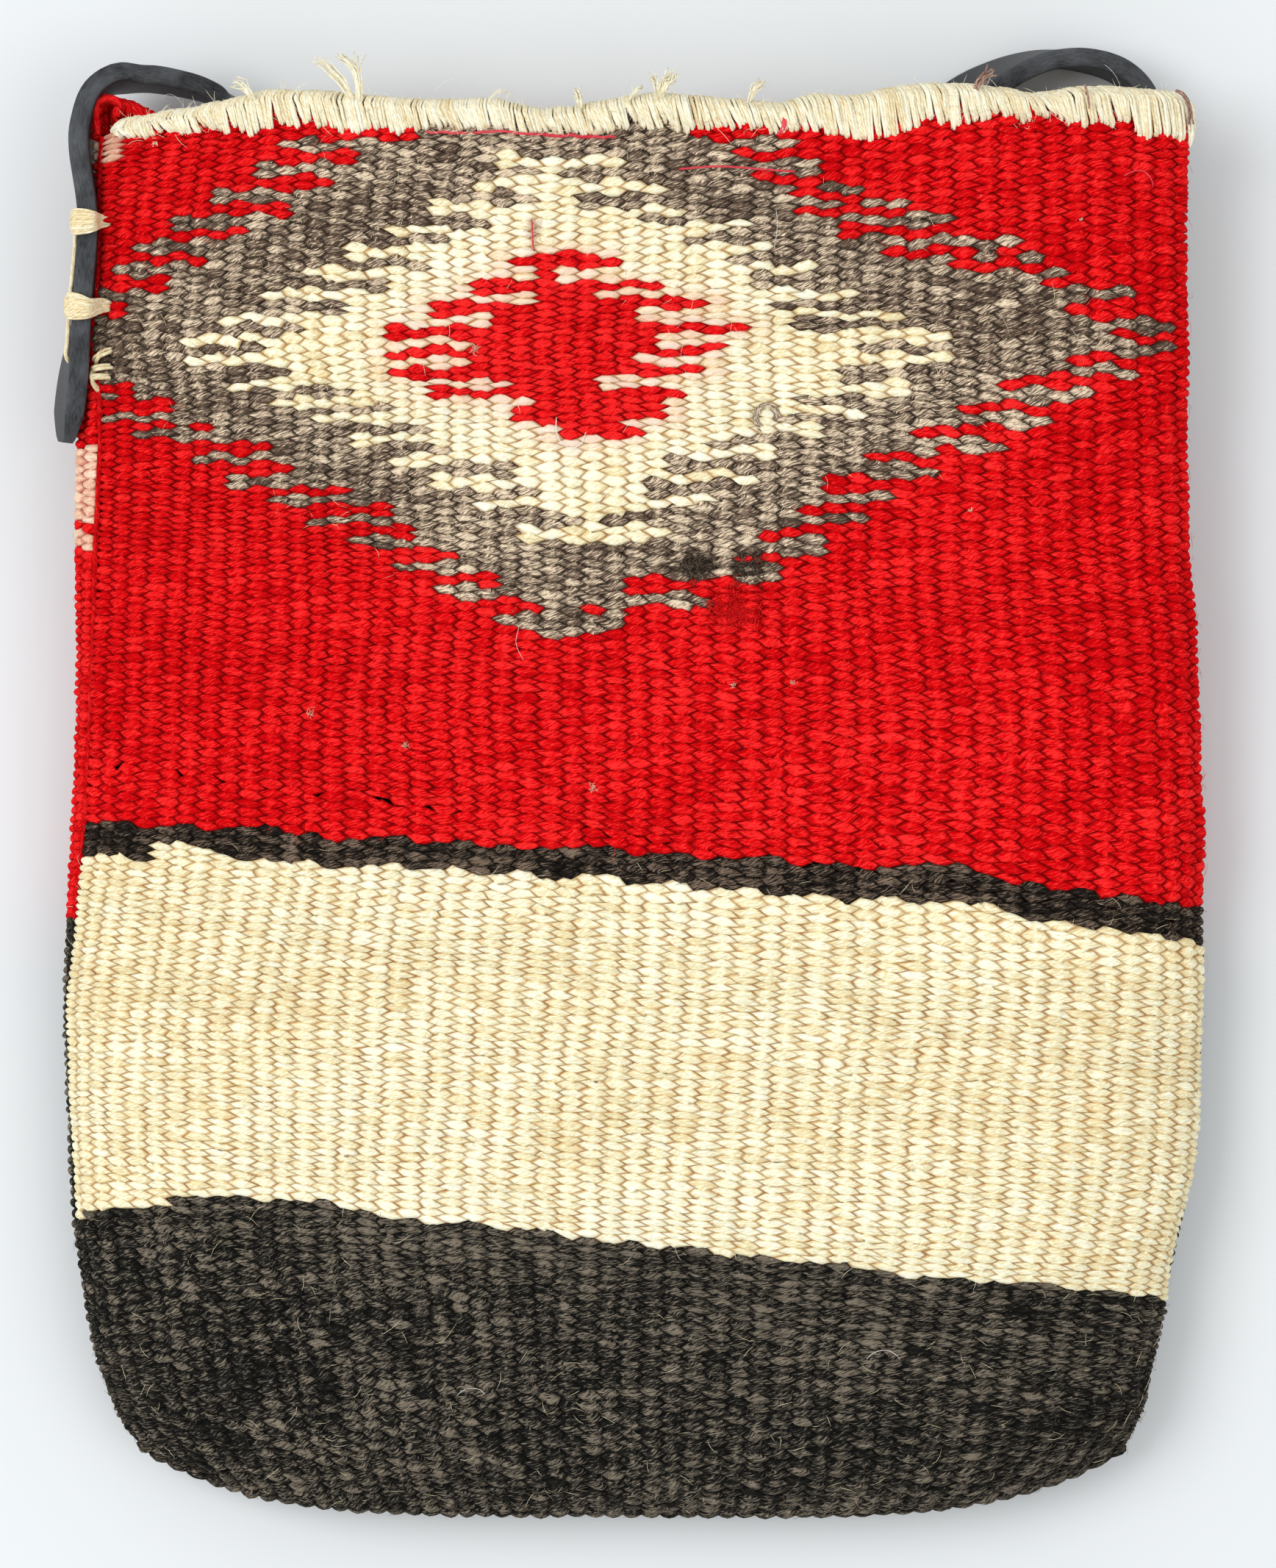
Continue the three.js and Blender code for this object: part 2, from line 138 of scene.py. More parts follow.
# Millimetres of texture for a stitch's width and height, and the span that each takes a random part of
STITCH_UV = (4.5, 2.0)
UV_SPAN = 400.0
# A stitch: its two tips and three rows of points across it. A fine one has two more rows near its tips
STITCH_ACROSS = [-0.5, -0.27, 0.0, 0.27, 0.5]
STITCH = [(-(1 - SHOULDER), 0.0), (1 - SHOULDER, 0.0)]
STITCH += [(place, at) for place in (-SHOULDER, 0.0, SHOULDER) for at in STITCH_ACROSS]
TIP_POINTS = (0, 1)
ROW_STARTS = (2, 7, 12)
FINE_STARTS = (17, 22)
ENDS_SHARED = [True, False, False, False, True]
SIDE_HEIGHTS = [VALLEY, 0.4, 0.62, 0.4, VALLEY]
MIDDLE_HEIGHTS = [RIB_CREST, 0.74, RIDGE, 0.74, RIB_CREST]
FINE_HEIGHTS = [VALLEY, 0.1, 0.26, 0.1, VALLEY]
STITCH_HEIGHTS = [VALLEY, VALLEY] + SIDE_HEIGHTS + MIDDLE_HEIGHTS + SIDE_HEIGHTS
# Depths of the stitches on the bands and inside, as shares
BAND_DEPTH = 0.88
INNER_DEPTH = 0.7
# Below this distance down, the cord of the left seam is dark
SEAM_DARK_DOWN = 174.0
# Colours: the stain, how much painted highlight lightens a stitch's crown, and what is taken off for that
STAIN_COLOUR = (236, 150, 128)
CROWN_PAINTED_HIGHLIGHT = 0.35
PAINTED_HIGHLIGHT_OFFSET = 0.16
# Strands: how uneven their shades are, how high they stand, which sets their painted highlight, and how dark
# the painted shade in the furrows between them is
STRAND_UNEVEN = 0.14
STRAND_PAINTED_LIGHT = 0.8
CREASE_FROM = 1.3
CREASE_LEAST = 0.3
# Fibres on the cloth: lengths, turn, bend and rise, and the share of them that start at a side
FIBRE_LENGTHS = (1.2, 3.6)
FIBRE_TURN = 0.7
FIBRE_BEND = 0.9
FIBRE_SWEEP = 0.6
FIBRE_RISES = (0.15, 1.0)
FIBRE_BASE = 0.55
FIBRE_ARC = 2.2
SIDE_FIBRES = 0.02
FIBRE_SHADE = (0.6, 0.15)
PALE_FIBRE_SHADE = 0.35
BESIDE = 0.004
# Points along a fibre, and radii on the cloth and at the mouth's edge
FIBRE_POINTS = 4
FIBRE_RADII = (0.035, 0.035, 0.035, 0.015)
EDGE_FIBRE_RADII = (0.04, 0.04, 0.04, 0.015)
# Front seam's distance from the left outline, as the photograph shows it from above
SEAM_OFFSETS = [
    (0, 1.6), (10, 1.2), (24, 0.5), (52, 0.6), (64, 4.0), (76, 5.2), (88, 5.0), (130, 2.9), (155, 2.9),
    (176, 1.7), (197, 0.3), (294, 0.3),
]
# How far the rows drop on the right and rise on the left of the middle
ROW_SKEWS = [(0, 0), (55, 0), (150, 8.9), (240, 9.6), (300, 9.6)]

# Yarn colours' places in the cloth's list of materials
RED, GREY, CREAM, BROWN, BLACK, PINK = range(6)

# The serrated diamond, in photograph pixels from top to bottom
OUTER_LEFT = [
    (559, 150), (559, 190), (390, 194), (490, 218), (338, 227), (448, 251), (286, 265), (388, 283),
    (233, 302), (337, 317), (176, 334), (275, 347), (145, 367), (226, 386), (105, 400), (168, 422),
    (80, 440), (80, 515), (174, 526), (105, 538), (242, 549), (140, 571), (297, 575), (195, 590),
    (357, 605), (261, 620), (405, 634), (309, 652), (466, 666), (368, 680), (522, 694), (421, 711),
    (572, 722), (478, 743), (629, 752), (531, 778), (683, 786), (582, 808), (742, 818), (742, 832),
    (688, 836), (688, 853),
]
OUTER_RIGHT = [
    (950, 150), (950, 186), (1085, 194), (980, 217), (1124, 224), (1031, 247), (1181, 256), (1060, 266),
    (1235, 276), (1085, 286), (1308, 297), (1135, 314), (1371, 331), (1188, 341), (1420, 351), (1250, 361),
    (1468, 371), (1378, 387), (1553, 394), (1447, 421), (1600, 440), (1499, 452), (1597, 472), (1450, 484),
    (1548, 501), (1370, 517), (1490, 536), (1308, 553), (1422, 571), (1248, 586), (1361, 605), (1184, 622),
    (1293, 642), (1136, 658), (1216, 680), (1081, 692), (1166, 714), (1028, 722), (1124, 744), (1018, 760),
    (1062, 778), (863, 796), (957, 817), (801, 826), (848, 838), (848, 853),
]
INNER_LEFT = [
    (752, 204), (685, 215), (745, 232), (632, 248), (731, 265), (577, 280), (676, 297), (522, 307),
    (623, 330), (463, 334), (568, 362), (407, 366), (513, 391), (355, 396), (453, 425), (300, 431),
    (400, 448), (239, 463), (346, 479), (246, 488), (405, 506), (309, 522), (466, 530), (361, 549),
    (520, 557), (421, 569), (577, 583), (478, 596), (623, 610), (535, 624), (692, 640), (592, 656),
    (741, 670), (643, 683), (790, 699), (696, 719),
]
INNER_RIGHT = [
    (752, 204), (850, 220), (770, 236), (896, 256), (800, 272), (934, 285), (881, 297), (1020, 309),
    (924, 328), (1048, 342), (996, 356), (1126, 365), (1031, 385), (1177, 399), (1050, 414), (1225, 427),
    (1082, 440), (1297, 456), (1160, 470), (1293, 487), (1131, 507), (1236, 529), (1084, 545),
    (1177, 562), (1054, 574), (1123, 588), (975, 600), (1065, 616), (922, 632), (1016, 650), (868, 662),
    (965, 680), (813, 698), (911, 724),
]
CORE_LEFT = [
    (760, 339), (685, 350), (713, 365), (632, 388), (734, 401), (576, 416), (680, 437), (524, 447),
    (627, 467), (522, 475), (627, 490), (524, 503), (688, 521), (583, 534), (726, 549), (695, 559),
    (746, 590), (780, 598),
]
CORE_RIGHT = [
    (790, 339), (833, 350), (751, 370), (889, 391), (815, 404), (974, 411), (874, 434), (1024, 447),
    (897, 465), (974, 477), (877, 490), (968, 503), (826, 520), (925, 539), (894, 549), (920, 562),
    (860, 575), (866, 592), (800, 598),
]
# The bands' edges, in photograph pixels from left to right
BAND_TOP = [(60, 1116), (130, 1118), (500, 1142), (1300, 1183), (1625, 1234), (1680, 1242)]
BAND_BOTTOM = [
    (60, 1160), (115, 1162), (205, 1168), (215, 1150), (295, 1152), (305, 1172), (500, 1178), (1300, 1229),
    (1623, 1281), (1680, 1290),
]
CREAM_BOTTOM = [
    (60, 1658), (95, 1656), (167, 1639), (260, 1634), (316, 1628), (372, 1634), (500, 1648), (1300, 1743),
    (1514, 1758), (1570, 1767), (1680, 1780),
]
# The overcast mouth's upper and lower edges
MOUTH_TOP = [
    (120, 176), (161, 162), (230, 149), (295, 141), (367, 120), (440, 122), (497, 128), (600, 136),
    (682, 133), (746, 149), (885, 126), (1066, 139), (1100, 127), (1161, 129), (1217, 117), (1262, 113),
    (1311, 111), (1376, 121), (1416, 127), (1457, 115), (1526, 117), (1579, 119), (1611, 125),
    (1640, 150),
]
MOUTH_FOOT = [
    (120, 196), (230, 185), (344, 182), (413, 166), (474, 180), (574, 180), (658, 180), (735, 185),
    (812, 186), (880, 168), (952, 180), (1034, 173), (1062, 181), (1146, 181), (1161, 190), (1207, 181),
    (1253, 162), (1335, 158), (1422, 161), (1514, 159), (1537, 155), (1551, 176), (1593, 180),
    (1640, 190),
]
# On the back the red gives way to black at this photograph row, seen at the left edge
BACK_DARK_PX = 1251
# Stained cream stitches of the back panel at the left edge: rows from and to
STAIN_PX = (605, 752)
CORNER_STAIN_PX = (174, 224)
# Worn pale stitches at the front's upper left corner: right, top and bottom
WORN_PX = (166, 168, 220)
# The strip of the back that shows at the left: its right edge, and the height above which it shows
STRIP_PX = 145
STRIP_LEVEL = 12.0
# Shares of the stained and the worn stitches that are pale
PALE_SHARE = 0.72
WORN_SHARE = 0.7
TOOTH_REACH = 7.0
# The middle of the pool of painted light on the cloth, and how far it reaches
PAINTED_GLOW_PX = (775.0, 470.0)
PAINTED_GLOW_REACH = 150.0
# Redness round the core: its strength, and how many pixels it fades over
BLEED = 0.45
BLEED_PX = 12.0
# Painted light and shade: paler round the core, darker towards the sides
CORE_PAINTED_GLOW = 0.3
SIDE_PAINTED_SHADE = 0.2
SIDE_FROM_PX = 480.0
SIDE_REACH_PX = 260.0

# Floor, in metres from its middle to its sides, its colour, and the camera's sensor
FLOOR = 3.0
FLOOR_COLOUR = (212, 216, 218)
SENSOR_WIDTH = 36.0

# Heights above the table at which places in the photograph are read
FRONT_LEVEL = 35.0
FELT_LEVEL = 34.0
STAR_LEVEL = 32.0
TIE_LEVEL = 31.0

# Strap and lashing, as in the part
RIB_HEIGHT = 0.7
STRAP_WIDTH = 15.5
STRAP_THICKNESS = 4.0
STRAP_TAPER = 13.0
TIP_WIDTH = 5.0
STRAP_STEPS = 500
STRAP_CORNER = 0.8
STRAP_CROWN = 0.12
EDGE_ROUGHNESS = 0.07
# The strap's thinner tips, as a share and a length, and the waves of its rim: height, length and start
TIP_THIN = 0.55
TIP_LENGTH = 6.0
RIM_WIDTH = 1.6
RIM_WAVES = [(0.18, 7.3, 0.0), (0.12, 3.1, 1.0)]
LOOK_AHEAD = 1.5
STRAP_CLEAR = 0.05
TIE_DOWNS = [24.7, 42.2, 54.0]
CLEARANCE = 0.3
TABLE_GAP = 0.3
LEAN_OUT = 0.3
# The strap beside the left seam: distance down and lean
STRAP_LEFT = [(70, 17), (56, 15), (42.2, 4), (24.7, 1)]
# Its way through the air behind the mouth, then on the table: x, y, z, lean and x, y, lean
STRAP_AIR = [
    (-113.9, 130, 26.4, 0), (-113.6, 136, 25.8, 0), (-111.9, 141.6, 24, 0), (-108.2, 145.2, 21, 0),
    (-103.6, 146.2, 18, 0), (-98, 146.3, 14.6, 0), (-91.5, 145.2, 11, 0), (-86, 142.8, 8.6, 4),
]
STRAP_TABLE = [
    (-80, 137, 18), (-71, 126, 46), (-58, 106, 62), (-43, 75, 76), (-15, 51, 86), (18, 50, 86),
    (44, 74, 76), (56, 106, 60), (61.5, 129, 44), (66.5, 140.5, 33), (75.1, 147.2, 22), (85, 151.2, 11),
    (94, 151.6, 3), (102.4, 149, 0), (107.8, 143, 0), (109.4, 133, 0), (109.6, 116, 0), (109.6, 98, 0),
    (109.6, 71, 0),
]
# The two left ties: distance down, photograph column of the end in the cloth, and length along the strap
LEFT_TIES = [(TIE_DOWNS[0], 147, 5.6), (TIE_DOWNS[1], 149, 5.4)]
TIE_STRANDS = 11
TIE_RISE = 1.5
TIE_ROUND = 1.9
RIGHT_STRANDS = 5
RIGHT_SPREAD = 5.0
# A tie's way over the strap, point by point: up from its upper edge, out from its inner face (-1), middle (0)
# or outer face (1), each with a share of the strand's rise, and the share of the spread drawn in along it
LEFT_WAY = [
    (0.5, 1.0, -1, 0.3, 0.0, 0.35), (0.6, 1.1, 0, 0.0, 0.0, 0.12), (0.1, 0.8, 1, 0.35, 0.0, 0.0),
    (-2.2, 0.0, 1, 0.6, 0.6, 0.18), (-4.2, 0.0, 1, 0.6, 0.0, 0.6), (-5.0, 0.0, 1, -0.8, 0.0, 0.6),
]
RIGHT_WAY = [
    (0.4, 0.0, 1, 0.9, 0.0, 0.0), (-1.4, 0.0, 1, 0.75, 0.0, 0.156), (-2.8, 0.0, 1, 0.7, 0.0, 0.312),
    (-4.2, 0.0, 1, 0.55, 0.0, 0.52), (-5.0, 0.0, 1, -0.8, 0.0, 0.52),
]
# Radii of the left and the right cord, and the share at the tips of the left one
LEFT_RADII = (0.36, 0.46)
RIGHT_RADII = (0.42, 0.54)
TIP_SHARE = 0.5
CORD_STRANDS = 3
CORD_SPACING = 0.55
CORD_BOW = 1.1
HOLE_DEPTH = 4.4
# Stitches of the third tie, from and to, in photograph pixels, and their lifts off the cloth
STAR_STITCHES = [
    ((126, 492), (150, 474)), ((123, 502), (150, 497)), ((122, 512), (147, 511)), ((121, 500), (125, 530)),
]
STAR_LIFTS = (0.0, 0.9, 1.5, 1.8, 1.8, 1.5, 0.9, 0.0)

# The back panel's upper left corner stands up past the front, bound in red
CORNER_X = -105.5
CORNER_REACH = 9.0
CORNER_RISE = 0.7
CORNER_FADE = 9.0
CORNER_SHARES = (0.004, 0.062)
CORNER_STRANDS = 13
CORNER_RADII = (0.62, 0.85)
# Its strands' distances down and lifts outside and inside, their rise over the edge, and how full they are
OUTER_DOWNS = (6.0, 4.0, 2.2, 0.6)
OUTER_LIFTS = (-0.3, 0.6, 0.9, 0.9)
LINED_DOWNS = (0.6, 3.0)
LINED_LIFTS = (0.9, 0.3)
BINDING_RISE = 1.5
BINDING_FULL = (0.9, 0.12)
# How far the back's edge lies below the front's, by x
BACK_DROPS = [(-115, 0), (-106, 0), (-97.5, 4.2), (-80, 4.6), (-66, 2.2), (120, 2.2)]

# Overcast mouth: bundles of loops, and loops of strands that are gathered at their feet
MOUTH_PX = (150.0, 1622.0)
BUNDLES = 52
BUNDLE_JITTER = 3.6
LOOPS = 3
LOOP_STRANDS = 3
LOOP_GATHER = 0.75
LOOP_ROUND = 1.8
# The bundles' slant in pixels, its middle and spread, and how uneven their feet and fullness are
SLANT_PX = (9.0, 1.6)
DROP_UNEVEN_PX = 2.2
FULLNESS = (0.9, 1.12)
# The middle loop of a bundle reaches further down, in pixels, and how uneven loops are
LOOP_BOW = 7.0
LOOP_RISE = 4.0
LOOP_LEAN_PX = 1.4
LOOP_DROP_PX = 1.7
# How uneven strands are at the top and at the foot, across and down, in pixels
TOP_UNEVEN_PX = 0.9
FOOT_UNEVEN_PX = (0.5, 0.4)
# How round bundles and loops are, and how uneven strands' lifts, radii, ends and shades are
BUNDLE_ROUND = 0.3
LOOP_SWELL = 0.12
LIFT_UNEVEN = 0.07
YARN_RADII = (0.33, 0.43)
YARN_ENDS = (0.9, 0.4)
YARN_SHADE = (0.5, 0.2)
BACK_OVERCAST_PX = 300.0
BACK_REACH = 5.6
BACK_FOLLOW = 0.15
LEAST_REACH = 3.0
OVERCAST_COVER = 1.6
CROWN_RISE = 1.75
# A strand's places up the cloth: the turn at its foot, shares of its reach, and the gap below the edge
FOOT_TURN = 0.7
STRAND_SHARES = (0.62, 0.28)
EDGE_GAP = 0.3
# A strand's lifts off the cloth from its foot to the edge, and how far it has turned to its top there
STRAND_LIFTS = (-0.6, 0.75, 1.35, 1.55, 1.4)
STRAND_TURNS = (0.0, 0.0, 0.35, 0.7, 1.0)
# Inside the mouth: distances down, how far off the cloth, and how far aside
INNER_DOWNS = (0.4, 3.2, 6.0)
INNER_LIFTS = (1.0, 1.0, -0.4)
INNER_ASIDES = (2.4, 3.6, 4.8)
CROWN_ASIDE = 1.2
# How deep in its furrow a strand lies at its foot and inside, which sets its painted shade: nought is deep
FOOT_TONES = (0.2, 0.6)
INNER_TONES = (0.9, 0.75, 0.65, 0.55, 0.45, 0.4, 0.35, 0.3, 0.25)

# Loose ends: photograph x and y, heights above the table, then strands, radius and spread
RISE = (36, 37, 38, 38, 38, 37)
ARCH = (36, 37, 38, 38, 37, 36)
LOOSE_ENDS = [
    ([(486, 142), (486, 124), (485, 108), (481, 94), (472, 82), (462, 76)], RISE, 16, 0.2, 0.55),
    ([(482, 140), (474, 126), (466, 112), (456, 100), (445, 90), (433, 82)], ARCH, 15, 0.2, 0.5),
    ([(488, 142), (490, 128), (489, 114), (486, 100), (484, 90), (486, 78)], ARCH, 10, 0.2, 0.5),
    ([(346, 142), (343, 133), (340, 126), (336, 120), (330, 114), (322, 110)], ARCH, 18, 0.2, 0.6),
    ([(790, 150), (790, 144), (789, 138), (788, 133), (787, 129), (786, 125)], RISE, 14, 0.2, 0.55),
    ([(898, 136), (901, 127), (905, 119), (909, 112), (913, 106), (917, 101)], RISE, 20, 0.22, 0.7),
    ([(896, 136), (895, 127), (894, 120), (893, 114), (891, 109), (888, 104)], RISE, 12, 0.2, 0.5),
    ([(856, 138), (858, 132), (861, 128), (864, 124), (867, 121), (870, 119)], RISE, 10, 0.2, 0.4),
    ([(1018, 142), (1021, 134), (1024, 127), (1028, 121), (1033, 116), (1038, 112)], RISE, 14, 0.2, 0.6),
    ([(664, 140), (668, 132), (674, 126), (681, 124), (688, 126), (694, 130)], ARCH, 4, 0.12, 0.4),
]
STRAY_HAIRS = [
    ([(1503, 88), (1507, 91), (1512, 96), (1517, 102), (1520, 107), (1522, 113)], (20, 24, 27, 30, 32, 34),
     1, 0.05, 0.0),
    ([(590, 124), (597, 118), (604, 112), (612, 108), (620, 110), (627, 116)], (37, 38, 38, 38, 38, 37),
     1, 0.05, 0.0),
    ([(250, 150), (247, 140), (240, 132), (231, 128), (224, 130), (220, 137)], (34, 36, 37, 37, 36, 35),
     1, 0.04, 0.0),
]
BROWN_ENDS = [
    ([(1326, 128), (1328, 120), (1332, 112), (1337, 106), (1342, 102), (1346, 100)],
     (36, 37.4, 38, 38, 37.6, 37), 8, 0.26, 0.7),
    ([(1600, 124), (1608, 128), (1615, 138), (1618, 148), (1619, 158), (1618, 168)],
     (33, 34, 34, 33.4, 32.4, 31), 4, 0.34, 0.3),
    ([(1476, 116), (1478, 122), (1480, 128), (1481, 134), (1482, 140), (1482, 146)],
     (37, 38, 38.4, 38.3, 38, 37.2), 2, 0.28, 0.15),
]
# Threads on the cloth: photograph x and y, strands and radius, and the lifts off the cloth that all have
RED_THREADS = [
    ([(640, 182), (662, 181), (684, 180), (706, 183), (728, 184), (742, 183)], 1, 0.3),
    ([(738, 184), (752, 186), (766, 187), (778, 185), (790, 188), (806, 186)], 1, 0.3),
    ([(802, 188), (812, 187), (820, 189), (826, 188), (832, 187), (838, 188)], 1, 0.28),
    ([(580, 180), (592, 182), (604, 181), (616, 183), (628, 182), (640, 183)], 1, 0.26),
    ([(924, 231), (950, 229), (976, 228), (1004, 229), (1040, 232), (1082, 234)], 1, 0.2),
    ([(1062, 182), (1066, 175), (1068, 168), (1069, 162), (1069, 157), (1070, 152)], 3, 0.26),
    ([(724, 298), (725, 306), (725, 314), (726, 322), (726, 330), (727, 340)], 3, 0.1),
    ([(1530, 238), (1541, 232), (1552, 231), (1560, 236), (1566, 243), (1570, 252)], 1, 0.12),
]
CLOTH_HAIRS = [
    ([(757, 568), (757, 588), (765, 604), (779, 610), (792, 602), (799, 580)], 1, 0.09),
    ([(706, 852), (704, 862), (702, 872), (704, 882), (708, 890), (712, 898)], 1, 0.045),
    ([(1056, 286), (1057, 298), (1057, 310), (1056, 322), (1054, 332), (1053, 342)], 1, 0.05),
    ([(560, 336), (566, 344), (574, 350), (582, 353), (590, 352), (598, 348)], 1, 0.05),
    ([(1180, 1850), (1188, 1842), (1198, 1838), (1210, 1838), (1220, 1844), (1226, 1852)], 1, 0.06),
    ([(620, 1900), (628, 1892), (640, 1888), (652, 1890), (660, 1898), (664, 1908)], 1, 0.06),
]
CLOTH_LOOPS = [
    ([(1034, 584), (1027, 570), (1032, 554), (1043, 549), (1053, 556), (1058, 570)], 5, 0.26),
]
THREAD_LIFTS = (0.3, 1.1, 1.4, 1.4, 1.1, 0.3)
# Felted spots: photograph x and y, half width and height, fibres, their length and the yarn
FELTED_SPOTS = [
    (947, 770, 16, 14, 130, 3.0, BROWN), (1017, 772, 18, 16, 150, 3.0, BROWN),
    (947, 772, 12, 10, 60, 2.4, BROWN), (1015, 774, 14, 12, 70, 2.4, BROWN),
    (1000, 826, 40, 26, 260, 3.0, RED), (724, 318, 7, 18, 22, 2.2, PINK), (646, 476, 5, 4, 20, 1.0, PINK),
    (1335, 268, 2, 2, 9, 0.35, CREAM), (1469, 300, 2, 2, 9, 0.35, CREAM),
    (1320, 694, 3, 3, 12, 0.45, CREAM), (997, 932, 3, 3, 12, 0.5, PINK), (1079, 929, 4, 3, 14, 0.5, PINK),
    (551, 1014, 4, 4, 16, 0.6, PINK), (807, 1071, 5, 5, 22, 0.7, PINK), (422, 970, 3, 7, 14, 0.8, PINK),
    (212, 195, 3, 2, 12, 0.5, CREAM), (752, 752, 2, 2, 9, 0.4, CREAM),
]


# Curves and surfaces

def profile(pairs):
    """A smooth curve through the pairs, with straight ends."""
    knots = np.array([p[0] for p in pairs], float)
    values = np.array([p[1] for p in pairs], float)
    last = len(knots) - 1

    def value(at):
        at = np.clip(np.asarray(at, float), knots[0], knots[-1])
        i1 = np.clip(np.searchsorted(knots, at, side="right"), 1, last)
        i0 = i1 - 1
        before = np.where(i0 == 0, i1, i0 - 1)
        after = np.where(i1 == last, i0, np.minimum(i1 + 1, last))
        span = knots[i1] - knots[i0]
        w_before = 0.5 * span / (knots[i0] - knots[before])
        w_after = 0.5 * span / (knots[after] - knots[i1])
        p = (at - knots[i0]) / span
        p2 = p * p
        p3 = p2 * p
        s_before = -w_before * p3 + 2 * w_before * p2 - w_before * p
        s0 = (1 + w_before) * p3 + (-1.5 - 2 * w_before) * p2 + (-0.5 + w_before) * p + 1
        s1 = (-1 - w_after) * p3 + (1.5 + w_after) * p2 + 0.5 * p
        s_after = w_after * p3 - w_after * p2
        return s_before * values[before] + s0 * values[i0] + s1 * values[i1] + s_after * values[after]

    return value


def line(points):
    """Straight-line reading of a list of points."""
    xs = [p[0] for p in points]
    ys = [p[1] for p in points]
    return lambda at: np.interp(at, xs, ys)


def unit(vectors):
    """The vectors at a length of one."""
    return vectors / np.maximum(np.linalg.norm(vectors, axis=-1, keepdims=True), 1e-9)


def running(steps):
    """Running total of steps, from nought."""
    return np.concatenate([[0], np.cumsum(steps)])


width_at = profile(WIDTHS)
centre_at = profile(CENTRES)
thickness_at = profile(THICKNESSES)
underside_at = profile(UNDERSIDES)
skew_at = profile(SKEWS)
seam_at = line(SEAM_OFFSETS)
left_swell_at = line(LEFT_SWELLS)
right_swell_at = line(RIGHT_SWELLS)
swell_share_at = line(SWELL_SHARES)
back_drop_at = line(BACK_DROPS)
row_skew_at = line(ROW_SKEWS)
mouth_top_px = line(MOUTH_TOP)
mouth_foot_px = line(MOUTH_FOOT)


def photo_x(px, z=SCALE_LEVEL):
    """Millimetres in X under a photograph column, at a height above the table."""
    middle = (PHOTO_WIDTH / 2 - ORIGIN_PX[0]) * PIXEL
    return middle + (px - PHOTO_WIDTH / 2) * PIXEL * (CAMERA_HEIGHT - z) / (CAMERA_HEIGHT - SCALE_LEVEL)


def photo_y(py, z=SCALE_LEVEL):
    """Millimetres in Y under a photograph row, at a height above the table."""
    middle = (ORIGIN_PX[1] - PHOTO_HEIGHT / 2) * PIXEL
    return middle + (PHOTO_HEIGHT / 2 - py) * PIXEL * (CAMERA_HEIGHT - z) / (CAMERA_HEIGHT - SCALE_LEVEL)


def to_photo(points):
    """Photograph pixels of points in millimetres."""
    zoom = (CAMERA_HEIGHT - SCALE_LEVEL) / (CAMERA_HEIGHT - points[..., 2]) / PIXEL
    px = PHOTO_WIDTH / 2 + (points[..., 0] - photo_x(PHOTO_WIDTH / 2)) * zoom
    py = PHOTO_HEIGHT / 2 - (points[..., 1] - photo_y(PHOTO_HEIGHT / 2)) * zoom
    return px, py


def ring(down, shares, grow=0.0):
    """Points of the bag's outline at one distance from the mouth, at shares of the way round.

    The way starts at the left edge and goes over the front, so the front is from 0 to 0.5.
    """
    rounded = max(0.0, (down - (BAG_HEIGHT - ROUND_LENGTH)) / ROUND_LENGTH)
    full = float(thickness_at(down)) / 2
    half_width = float(width_at(down)) / 2 + grow
    half_thick = max(FOLD_THICKNESS / 2, full * math.sqrt(max(0.0, 1 - rounded ** 3))) + grow
    turn = math.pi * (2 * np.linspace(0, 1, OVAL_STEPS + 1) - 0.5)
    s = np.sin(turn)
    x = half_width * s
    z = half_thick * np.cos(turn) * np.sqrt(1 + s ** 2 + s ** 4)
    way = running(np.hypot(np.diff(x), np.diff(z)))
    wanted = np.mod(shares, 1.0) * way[-1]
    x = np.interp(wanted, way, x)
    z = np.interp(wanted, way, z)
    across = x / half_width
    y = MOUTH_Y - down - skew_at(down) * across + BOTTOM_BOW * rounded * np.abs(across) ** BOW_POWER
    z = z + float(underside_at(down)) + full - ROUND_SAG * rounded
    z = np.maximum(z, TABLE_CLEAR - min(grow, 0.0))
    x = x - left_swell_at(down) * np.clip(1 - (1 + across) / swell_share_at(down), 0, 1) ** 2
    x = x + right_swell_at(down) * np.clip(1 - (1 - across) / swell_share_at(down), 0, 1) ** 2
    return np.stack([x + float(centre_at(down)), y, z], axis=-1)


class Surface:
    """A grid of points and normals, read by distance along and share across."""

    def __init__(self, points):
        self.points = points
        self.normals = unit(np.cross(np.gradient(points, axis=0), np.gradient(points, axis=1)))
        self.way = running(np.linalg.norm(np.diff(points, axis=0), axis=-1).mean(axis=1))

    def read(self, q, u):
        """Points and normals at distances along and shares across."""
        rows = np.interp(q, self.way, np.arange(len(self.way)))
        rows = np.clip(rows, 0, len(self.way) - 1.0001)
        columns = np.clip(u, 0, 1) * (self.points.shape[1] - 1)
        columns = np.clip(columns, 0, self.points.shape[1] - 1.0001)
        i = rows.astype(int)
        j = columns.astype(int)
        fi = (rows - i)[..., None]
        fj = (columns - j)[..., None]

        def mix(table):
            low = table[i, j] * (1 - fj) + table[i, j + 1] * fj
            high = table[i + 1, j] * (1 - fj) + table[i + 1, j + 1] * fj
            return low * (1 - fi) + high * fi

        # Past the ends the cloth runs on straight
        past = np.where(q < 0, q, np.where(q > self.way[-1], q - self.way[-1], 0))[..., None]
        step = unit(self.points[i + 1, j] - self.points[i, j])
        return mix(self.points) + step * past, unit(mix(self.normals))


def mouth_line(x):
    """The front cloth's upper edge, which the overcast stitches cover."""
    return photo_y(mouth_top_px(x / PIXEL + ORIGIN_PX[0]), FRONT_LEVEL) - OVERCAST_COVER


